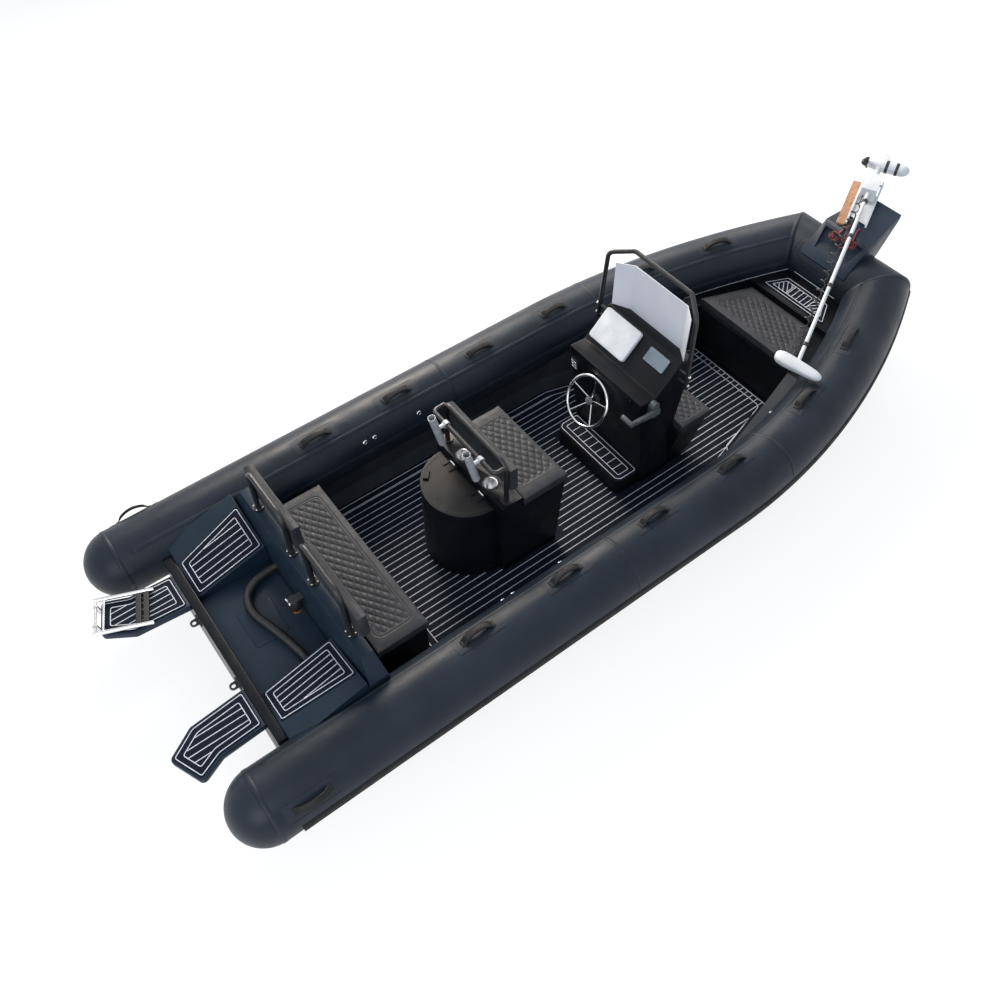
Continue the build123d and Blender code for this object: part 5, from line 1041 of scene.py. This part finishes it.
lead_points = [Vector((mitre_at.x + fore, across, mitre_at.z + up)) for fore, across, up in LEAD_ROUTE]
lead, length = cord_line("supply_lead", lead_points, LEAD_R, lead_red, replaces=["red_leads"])

# Loose leads: four thinner wires, three red and one black, left in small coils beside the first
# on the recess's slope, their ends bare.
lead_black = coating(
    "lead_black", (90, 3), ((0.006, 0.006, 0.007), (0.014, 0.014, 0.015)), 0.45,
    slot="rubber_black", gloss=0.3,
)
LOOP_STEPS = 14
LOOP_RISE = 0.0075
LOOP_WANDER = 0.12
WIRE_R = 0.0028
slope_foot = mitre_at + Vector((-0.192, -mitre_at.y, 0.123))
slope_run = Vector((0.214, 0, 0.200))
slope_normal = Vector((-slope_run.z, 0, slope_run.x)).normalized()
# name, wire, share up the slope, across, turns, loop radius, drift across, height off the slope
LOOSE_LEADS = (
    ("loose_lead_a", lead_red, 0.74, 0.075, 2.4, 0.030, -0.016, 0.012),
    ("loose_lead_b", lead_red, 0.78, -0.105, 2.6, 0.027, 0.014, 0.010),
    ("loose_lead_c", lead_black, 0.70, 0.020, 2.2, 0.033, 0.020, 0.020),
    ("loose_lead_d", lead_red, 0.80, -0.020, 2.5, 0.024, -0.018, 0.026),
)
for name, wire, share, across, turns, loop_r, drift, height in LOOSE_LEADS:
    points = []
    for k in range(int(turns * LOOP_STEPS) + 1):
        turn = k / LOOP_STEPS
        swing = 2 * pi * turn
        reach = loop_r * (1 + LOOP_WANDER * sin(1.7 * k))
        place = slope_foot + slope_run * (share + reach * cos(swing) / slope_run.length)
        place += Vector((0, across + drift * turn + reach * sin(swing), 0))
        points.append(place + slope_normal * (height + LOOP_RISE * turn))
    coil, length = cord_line(name, points, WIRE_R, wire)

# Rigging hose: a corrugated black sleeve for the engine's cables, looped over the well floor from
# the bulkhead to the well's side.
HOSE_Z = 0.473
HOSE_R = 0.027
RIB_PITCH = 0.0075
RIB_DEPTHS = (0, 0.001225, 0.0035, 0.001225)
HOSE_SIDES = 20
HOSE_ROUTE = (
    (-1.950, 0.312), (-2.042, 0.312), (-2.144, 0.276), (-2.206, 0.202), (-2.218, 0.083),
    (-2.172, -0.052), (-2.136, -0.201), (-2.112, -0.314), (-2.112, -0.390),
)


def stations(path, pitch):
    """Points and headings at even steps along a line of points."""
    places, walked, target = [], 0.0, 0.0
    for a, b in zip(path, path[1:]):
        run = (b - a).length
        while run > 0 and target <= walked + run:
            places.append((a.lerp(b, (target - walked) / run), (b - a).normalized()))
            target += pitch
        walked += run
    return places


def circle(centre, aside, upward, radius, sides):
    """Points round a centre, in the plane of two directions."""
    turns = [2 * pi * k / sides for k in range(sides)]
    return [centre + (aside * cos(turn) + upward * sin(turn)) * radius for turn in turns]


hose_points = lifted(HOSE_ROUTE, level(HOSE_Z))
hose_length, hose_path = line_length(smooth_line("rigging_sleeve_route", hose_points, 24))
verts = []
places = stations(hose_path, RIB_PITCH / len(RIB_DEPTHS))
for k, (centre, heading) in enumerate(places):
    aside = heading.cross(UP).normalized()
    radius = HOSE_R - RIB_DEPTHS[k % len(RIB_DEPTHS)]
    verts += circle(centre, aside, aside.cross(heading), radius, HOSE_SIDES)
faces = shell(len(places), HOSE_SIDES)
hose = finished("rigging_sleeve", verts, faces, plastic_black, replaces=["rigging_hose"])

# Fuel filter: a cast head bolted to the bulkhead, a painted canister screwed up into it and an
# amber water bowl with a drain tap below.
amber = coating(
    "amber", (40, 3), ((0.46, 0.17, 0.035), (0.64, 0.28, 0.08)), 0.2,
    slot="plastic_black", settings={"Transmission Weight": 0.3},
)
TURNED_SIDES = 32
filter_at = Vector((-2.002, -0.060, 0.540))
# profiles to turn: radius, height
CAN = (
    (0.030, 0), (0.036, 0.004), (0.038, 0.010), (0.038, 0.052),
    (0.0365, 0.054), (0.038, 0.056), (0.038, 0.070),
)
HEAD = ((0.038, 0.070), (0.038, 0.074), (0.034, 0.076), (0.034, 0.088), (0.030, 0.092), (0.012, 0.092))
BOWL = ((0.006, -0.045), (0.010, -0.044), (0.022, -0.040), (0.028, -0.030), (0.030, -0.018), (0.030, 0))
NIPPLE = (
    (0.007, 0), (0.007, 0.012), (0.0085, 0.013), (0.0085, 0.016),
    (0.007, 0.018), (0.007, 0.030), (0.004, 0.030),
)


def turned(name, shapes, material, body="hull", replaces=()):
    """One piece of several turned shapes, each a (profile, origin, axis), edges kept crisp."""
    verts, faces = [], []
    for profile, origin, axis in shapes:
        axis = Vector(axis).normalized()
        aside = axis.orthogonal().normalized()
        faces += shell(len(profile), TURNED_SIDES, len(verts))
        for radius, height in profile:
            verts += circle(Vector(origin) + axis * height, aside, axis.cross(aside), radius, TURNED_SIDES)
    piece = finished(name, verts, faces, material, body, replaces=replaces)
    piece.data.set_sharp_from_angle(angle=radians(35))
    return piece


turned("filter_can", [(CAN, filter_at, UP), (HEAD, filter_at, UP)], plastic_black, replaces=["fuel_filter"])
turned("filter_bowl", [(BOWL, filter_at, UP)], amber)
arm_low = Vector((filter_at.x, -0.086, 0.612))
arm_high = Vector((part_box("fuel_filter")[1].x, -0.034, 0.630))
arm = bpy.data.meshes.new("filter_arm")
shape = bmesh.new()
bmesh.ops.create_cube(shape, size=1)
for vert in shape.verts:
    reach = zip(arm_low, arm_high, vert.co)
    vert.co = [(low + high) / 2 + share * (high - low) for low, high, share in reach]
bmesh.ops.bevel(shape, geom=shape.edges[:], offset=0.004, segments=3, affect="EDGES", profile=0.5)
shape.to_mesh(arm)
shape.free()
placed("filter_arm", arm, plastic_black, smooth=False)
nipple_at = filter_at + Vector((-0.028, 0, 0.081))
turned("filter_nipples", [(NIPPLE, nipple_at, (-0.2, side, 0.1)) for side in (1, -1)], stainless)

# Curly cable: the motor's power lead in black rubber, a long helix beside the shaft from the head
# to the housing.
cable_black = coating(
    "cable_black", (60, 4), ((0.022, 0.023, 0.026), (0.042, 0.043, 0.047)), (0.22, 0.36, (90, 3)),
    slot="rubber_black",
)
MOTOR_SKEW = radians(26.6)
MOTOR_PITCH = radians(11.86)
SHAFT_FOOT, SHAFT_FOOT_UP = 0.085, 0.106
CURL_R = 0.023
CURL_WIRE = 0.0048
CURLS, CURL_STEPS = 17, 14
CURL_LEAD, CURL_STATION = 0.05, 0.004
# along the shaft from the hinge pin, across it, below its axis
CABLE_ROUTE = (
    (-1.712, 0.050, 0.006), (-1.430, 0.062, 0.022), (-1.130, 0.050, 0.014), (-0.830, 0.064, 0.026),
    (-0.530, 0.050, 0.020), (-0.250, 0.034, 0.034), (-0.190, 0.030, 0.032),
)
motor_fore = Vector((cos(MOTOR_SKEW), sin(MOTOR_SKEW), 0))
motor_across = Vector((-sin(MOTOR_SKEW), cos(MOTOR_SKEW), 0))
motor_pivot = mitre_at + Vector((0.482, 0.200 - mitre_at.y, 0.418))


def on_motor(fore, across, up):
    """Point given from the motor's hinge pin."""
    return motor_pivot + motor_fore * fore + motor_across * across + Vector((0, 0, up))


def shaft_up(fore):
    """Height of the shaft's axis above the hinge pin."""
    return SHAFT_FOOT_UP + (fore - SHAFT_FOOT) * tan(MOTOR_PITCH)


cable_points = [on_motor(fore, across, shaft_up(fore) - drop) for fore, across, drop in CABLE_ROUTE]
along = stations(line_length(smooth_line("curly_cable_route", cable_points, 24))[1], CURL_STATION)
lead_in = int(CURL_LEAD / CURL_STATION)
curl_last = len(along) - 1 - lead_in
curl_points = [along[0][0], along[lead_in // 2][0]]
steps = CURLS * CURL_STEPS
for k in range(steps + 1):
    centre, heading = along[round(lead_in + (curl_last - lead_in) * k / steps)]
    aside = heading.cross(UP).normalized()
    swing = 2 * pi * k / CURL_STEPS
    open_out = CURL_R * min(1, k / CURL_STEPS * 1.4 + 0.1, (steps - k) / CURL_STEPS * 1.4 + 0.1)
    curl_points.append(centre + (aside * cos(swing) + aside.cross(heading) * sin(swing)) * open_out)
curl_points += [along[(curl_last + len(along)) // 2][0], along[-1][0]]
cable, length = cord_line("curly_cable", curl_points, CURL_WIRE, cable_black, "motor_arm", ["motor_cable"])

# Motor fittings: black clamp rings on the shaft, and two black straps round the torpedo, moulded
# in glass-filled plastic.
SHAFT_R = 0.014
TORPEDO_R = 0.044
CLAMPS = (-1.60, -1.08, -0.62, -0.28)
STRAPS = (-0.052, -0.125)
RING = (
    (SHAFT_R, -0.014), (SHAFT_R + 0.006, -0.013), (SHAFT_R + 0.007, -0.009),
    (SHAFT_R + 0.007, 0.009), (SHAFT_R + 0.006, 0.013), (SHAFT_R, 0.014),
)
STRAP = (
    (TORPEDO_R - 0.001, -0.011), (TORPEDO_R + 0.002, -0.0105),
    (TORPEDO_R + 0.002, 0.0105), (TORPEDO_R - 0.001, 0.011),
)
shaft_axis = (motor_fore * cos(MOTOR_PITCH) + Vector((0, 0, sin(MOTOR_PITCH)))).normalized()
shaft_foot = on_motor(SHAFT_FOOT, 0, SHAFT_FOOT_UP)
rings = [(RING, on_motor(fore, 0, shaft_up(fore)), shaft_axis) for fore in CLAMPS]
turned("shaft_clamps", rings, plastic_black, "motor_arm")
straps = [(STRAP, shaft_foot + motor_across * across, motor_across) for across in STRAPS]
turned("torpedo_straps", straps, plastic_black, "motor_arm")

# Motor head: a smooth pod in two white halves, deep and round at the cable end and drawn out to a
# thin nose, with a ridge along its top.
HEAD_UP = -0.323
HEAD_RIDGE, HEAD_RIDGE_FALL = 0.3, 0.42
HEAD_RINGS, HEAD_SIDES = 40, 40
# along the shaft and across it from the hinge pin, half width, height
HEAD_WIDE = (-1.745, 0.105, 0.055, 0.095)
HEAD_NOSE = (-1.820, -0.145, 0.035, 0.060)


def squarer(value, power):
    """Sine or cosine drawn towards its ends, which turns a circle into a rounded square."""
    return (1 if value > 0 else -1) * abs(value) ** power


wide_end = on_motor(HEAD_WIDE[0], HEAD_WIDE[1], HEAD_UP)
nose_end = on_motor(HEAD_NOSE[0], HEAD_NOSE[1], HEAD_UP)
pod_axis = (nose_end - wide_end).normalized()
pod_side = UP.cross(pod_axis)
pod_length = (nose_end - wide_end).length + HEAD_WIDE[2] + HEAD_NOSE[2]
verts = []
for ring in range(HEAD_RINGS + 1):
    share = (1 - cos(pi * ring / HEAD_RINGS)) / 2
    full = max(0.0, 1 - abs(2 * share - 1) ** 5) ** 0.5
    half = (HEAD_WIDE[2] + (HEAD_NOSE[2] - HEAD_WIDE[2]) * share) * full
    tall = (HEAD_WIDE[3] + (HEAD_NOSE[3] - HEAD_WIDE[3]) * share) * (0.25 + 0.75 * full)
    centre = wide_end + pod_axis * (pod_length * share - HEAD_WIDE[2]) + UP * (HEAD_WIDE[3] * 0.42)
    for k in range(HEAD_SIDES):
        angle = 2 * pi * k / HEAD_SIDES
        across = squarer(cos(angle), 0.62)
        upward = squarer(sin(angle), 0.8)
        if upward > 0:
            upward *= 1 - HEAD_RIDGE_FALL * abs(across - HEAD_RIDGE)
        verts.append(centre + pod_side * half * across + UP * (tall / 2 * upward))
faces = walls(HEAD_RINGS + 1, HEAD_SIDES)
pod = finished("head_pod", verts, faces, plastic_white, "motor_arm", replaces=["motor_head"])
pod.data.set_sharp_from_angle(angle=radians(30))

# Bow patch: two rounded welts on the bow tube's inner side, round the foot of the bow plate, where
# its fabric patch is glued and rolled down.
WELT = 0.004
WELT_TOP = 128
WELT_STEPS = 6
# half width, degrees round the bow tube of its foot
WELTS = ((0.232, 160), (0.262, 168))
welts = []
for half, foot in WELTS:
    corner = [(half, WELT_TOP), (half, foot - 14), (half - 0.012, foot - 5), (half - 0.04, foot)]
    bends = corner + [(-y, degrees) for y, degrees in reversed(corner)]
    welt = []
    for (y0, d0), (y1, d1) in zip(bends, bends[1:]):
        for k in range(WELT_STEPS):
            share = k / WELT_STEPS
            welt.append(on_bow(d0 + (d1 - d0) * share, y0 + (y1 - y0) * share))
    welts.append((welt, False))
inlaid("bow_welts", welts, rubber_black, WELT, WELT)

# Trim line: a thin pale bead of sealant, run into the joint where the bow moulding meets the inner
# side of the tubes.
TRIM = 0.003
TRIM_LIFT = 0.001
TRIM_ANGLE = 192.6
TRIM_STEPS = 40
trim_aft, trim_fore = s_at(1.75), BEND_S - 0.1
trim = []
for k in range(TRIM_STEPS + 1):
    trim.append(on_tube(trim_aft + (trim_fore - trim_aft) * k / TRIM_STEPS, TRIM_ANGLE, 1, TRIM_LIFT))
across_bow = [on_bow(TRIM_ANGLE, y) - Vector((TRIM_LIFT, 0, 0)) for y in (0.19, 0.1, 0, -0.1, -0.19)]
mirrored = [Vector((p.x, -p.y, p.z)) for p in reversed(trim)]
inlaid("bow_trim", [(trim + across_bow + mirrored, False)], foam_line, TRIM, TRIM)

# Small fittings: steel eyes on the tubes' inner side, steel knobs on the screen's stubs, and white
# moulded rocker caps on the switch panel.
EYE = ((0.017, -0.004), (0.017, 0.003), (0.014, 0.005), (0.009, 0.005), (0.008, 0.002), (0, 0.002))
EYE_STATIONS, EYE_ANGLE = (-1.02, -0.945, -0.592, 1.30), 152
KNOB = ((0.009, -0.004), (0.011, 0.002), (0.011, 0.008), (0.006, 0.010), (0, 0.010))
KNOB_HEIGHTS = (0.985, 1.060)
KEY, KEY_PITCH, KEY_TILT = 0.019, 0.027, 0.0016
KEY_LEVELS = ((-0.002, 1), (0.0015, 1), (0.0028, 0.8))  # lift off the panel, size
eyes, knobs = [], []
frame_low, frame_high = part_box("windscreen_frame")
for side in SIDES.values():
    for s in map(s_at, EYE_STATIONS):
        eyes.append((EYE, on_tube(s, EYE_ANGLE, side), tube_normal(s, EYE_ANGLE, side)))
    for z in KNOB_HEIGHTS:
        knobs.append((KNOB, (frame_low.x + 0.015, side * (frame_high.y - 0.003), z), (0, side, 0)))
turned("tube_eyes", eyes, stainless)
turned("screen_knobs", knobs, stainless)


def face_of(node, up, lift):
    """Middle of a panel's face that leans along up, and its directions up and out."""
    low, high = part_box(node)
    up = Vector(up).normalized()
    out = Vector((-up.z, 0, up.x))
    return (low + high) / 2 + out * lift, up, out


panel_middle, panel_up, panel_out = face_of("switch_panel", (-0.115, 0, 0.864), 0.006)
verts, faces = [], []
for column in (-0.5, 0.5):
    for row in (-1, 0, 1):
        centre = panel_middle + Vector((0, column * KEY_PITCH, 0)) + panel_up * row * KEY_PITCH
        faces += shell(len(KEY_LEVELS), 4, len(verts))
        for lift, size in KEY_LEVELS:
            for a, b in ((-1, -1), (1, -1), (1, 1), (-1, 1)):
                tilt = KEY_TILT * b if lift > 0 else 0
                corner = Vector((0, a * KEY / 2 * size, 0)) + panel_up * (b * KEY / 2 * size)
                verts.append(centre + corner + panel_out * (lift + tilt))
finished("rocker_caps", verts, faces, plastic_white, smooth=False)

# Lid ring: a narrow rubber ring near the round edge of the live tank's lid, over the seal that the
# lid closes on.
LID_THICK = 0.016
LID_RING_R, LID_RING_LIFT = 0.262, 0.0004
LID_RING_WIDE, LID_RING_HIGH = 0.006, 0.0016
ARC_FIRST, ARC_TURN, ARC_STEPS = 96, 168, 48
lid_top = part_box("tank_lid")[0].z + LID_THICK + LID_RING_LIFT
arc = [radians(ARC_FIRST + ARC_TURN * k / ARC_STEPS) for k in range(ARC_STEPS + 1)]
ring_line = [(TANK_X + LID_RING_R * cos(a), LID_RING_R * sin(a), lid_top) for a in arc]
inlaid("lid_ring", [(ring_line, False)], rubber_black, LID_RING_WIDE, LID_RING_HIGH, "tank_lid")

# Fixing screws: steel pan heads in the backrest flanges and the gauge's corners, set out by a node
# tree that stands a head on each point along its own direction.
LEGS = (0.122, 0.531)
FLANGE_RISE, FLANGE_R = 0.009, 0.028
GAUGE_WIDE, GAUGE_TALL = 0.078, 0.041


def studding():
    """Node tree: a pan head of a given size on every point, pointing along the point's aim."""
    tree, given = growth_tree("fixing_heads", ("Radius", "Height"))
    head = tree.nodes.new("GeometryNodeMeshCone")
    head.inputs["Vertices"].default_value = 12
    top = tree.nodes.new("ShaderNodeMath")
    top.operation = "MULTIPLY"
    top.inputs[1].default_value = 0.6
    aim = tree.nodes.new("GeometryNodeInputNamedAttribute")
    aim.data_type = "FLOAT_VECTOR"
    aim.inputs["Name"].default_value = "aim"
    align = tree.nodes.new("FunctionNodeAlignEulerToVector")
    align.axis = "Z"
    stand = tree.nodes.new("GeometryNodeInstanceOnPoints")
    link = tree.links.new
    link(given.outputs["Radius"], head.inputs["Radius Bottom"])
    link(given.outputs["Radius"], top.inputs[0])
    link(top.outputs[0], head.inputs["Radius Top"])
    link(given.outputs["Height"], head.inputs["Depth"])
    link(aim.outputs["Attribute"], align.inputs["Vector"])
    link(given.outputs["Geometry"], stand.inputs["Points"])
    link(head.outputs["Mesh"], stand.inputs["Instance"])
    link(align.outputs["Rotation"], stand.inputs["Rotation"])
    hand_out(tree, given, stand.outputs["Instances"])
    return tree


fixing_heads = studding()


def screws(name, places, radius, height):
    """Steel screw heads at (point, direction) places."""
    guide = bpy.data.meshes.new(name)
    guide.from_pydata([tuple(point) for point, _ in places], [], [])
    aims = guide.attributes.new("aim", "FLOAT_VECTOR", "POINT")
    for datum, (_, direction) in zip(aims.data, places):
        datum.vector = direction
    mesh = grown(name, guide, fixing_heads, {"Radius": radius, "Height": height, "Finish": stainless})
    return placed(name, mesh, stainless, smooth=False)


legs_low, legs_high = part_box("backrest_frames")
places = []
for side in SIDES.values():
    for leg in LEGS:
        spot = Vector(((legs_low.x + legs_high.x) / 2, side * leg, legs_low.z + FLANGE_RISE))
        for k in range(4):
            swing = pi / 4 + pi / 2 * k
            places.append((spot + Vector((cos(swing), sin(swing), 0)) * FLANGE_R, UP))
screws("flange_screws", places, 0.006, 0.003)
gauge_middle, dash_up, dash_out = face_of("gauge_display", (0.195, 0, 0.192), 0.006)
places = []
for a in (-1, 1):
    for b in (-1, 1):
        corner = Vector((0, a * GAUGE_WIDE, 0)) + dash_up * (b * GAUGE_TALL)
        places.append((gauge_middle + corner, dash_out))
screws("gauge_screws", places, 0.003, 0.002)

# Studio: a pale floor at the waterline in front of a pale backdrop, a warm soft lamp high to port,
# a smaller one at the bow, a cool fill over the starboard quarter, and the photograph's viewpoint.
REACH = 300


def chosen(tree, lighting, shown, target):
    """Gives a surface one shader for the light it throws and one for how it looks to the camera.

    Rays that reach it straight, mirrored or through glass show it; the others only carry light.
    """
    rays = tree.nodes.new("ShaderNodeLightPath")
    seen = rays.outputs["Is Camera Ray"]
    for kind in ("Is Glossy Ray", "Is Transmission Ray"):
        either = tree.nodes.new("ShaderNodeMath")
        either.operation = "MAXIMUM"
        tree.links.new(seen, either.inputs[0])
        tree.links.new(rays.outputs[kind], either.inputs[1])
        seen = either.outputs[0]
    choose = tree.nodes.new("ShaderNodeMixShader")
    tree.links.new(seen, choose.inputs["Fac"])
    tree.links.new(lighting.outputs[0], choose.inputs[1])
    tree.links.new(shown.outputs[0], choose.inputs[2])
    tree.links.new(choose.outputs[0], target.inputs["Surface"])


floor_paint = bpy.data.materials.new("studio_floor")
floor_paint.use_nodes = True
tree = floor_paint.node_tree
tree.nodes.clear()
matt = tree.nodes.new("ShaderNodeBsdfDiffuse")
matt.inputs["Color"].default_value = (0.8, 0.8, 0.8, 1)
soft = tree.nodes.new("ShaderNodeBsdfDiffuse")
soft.inputs["Color"].default_value = (0.30, 0.30, 0.30, 1)
glow = tree.nodes.new("ShaderNodeEmission")
glow.inputs["Strength"].default_value = 0.8
both = tree.nodes.new("ShaderNodeAddShader")
tree.links.new(glow.outputs[0], both.inputs[0])
tree.links.new(soft.outputs[0], both.inputs[1])
chosen(tree, matt, both, tree.nodes.new("ShaderNodeOutputMaterial"))
mesh = bpy.data.meshes.new("studio_floor")
corners = [(-REACH, -REACH, 0), (REACH, -REACH, 0), (REACH, REACH, 0), (-REACH, REACH, 0)]
mesh.from_pydata(corners, [], [(0, 1, 2, 3)])
mesh.materials.append(floor_paint)
in_scene("studio_floor", mesh)

world = bpy.data.worlds.new("studio_air")
bpy.context.scene.world = world
world.use_nodes = True
tree = world.node_tree
sky = tree.nodes["Background"]
sky.inputs["Color"].default_value = (0.78, 0.88, 1.0, 1)
sky.inputs["Strength"].default_value = 0.62
backdrop = tree.nodes.new("ShaderNodeBackground")
backdrop.inputs["Color"].default_value = (0.93, 0.96, 1.0, 1)
chosen(tree, sky, backdrop, tree.nodes["World Output"])


def lamp(name, place, target, size, power, colour):
    """Broad soft lamp aimed at a point."""
    light = bpy.data.lights.new(name, "AREA")
    light.shape = "DISK"
    light.size = size
    light.energy = power
    light.color = colour
    holder = in_scene(name, light)
    holder.location = place
    holder.rotation_euler = (Vector(target) - Vector(place)).to_track_quat("-Z", "Y").to_euler()


lamp("sky_lamp", (1.2, 5.6, 4.6), (0, 0, 0.4), 3.2, 640, (1.0, 0.90, 0.79))
lamp("bow_lamp", (4.6, 3.4, 3.4), (1.9, -0.2, 0.6), 3.0, 90, (1.0, 0.93, 0.85))
lamp("fill_lamp", (-5.5, -4.0, 4.5), (-0.5, 0, 0.4), 4.0, 160, (0.92, 0.96, 1.0))

lens = bpy.data.cameras.new("photo_camera")
lens.sensor_width = 36
lens.lens = 34.208
lens.shift_x = 0.00699
lens.shift_y = -0.01239
camera = in_scene("photo_camera", lens)
right = Vector((0.80322403, -0.59527478, -0.02188808))
up = Vector((0.48410032, 0.63091953, 0.60628989))
back = Vector((-0.34709947, -0.49758263, 0.79494244))
place = Vector((-2.6655, -3.0608, 5.3412))
camera.matrix_world = Matrix(
    [(right[k], up[k], back[k], place[k]) for k in range(3)] + [(0, 0, 0, 1)]
)
bpy.context.scene.camera = camera
bpy.context.scene.view_settings.view_transform = "Standard"
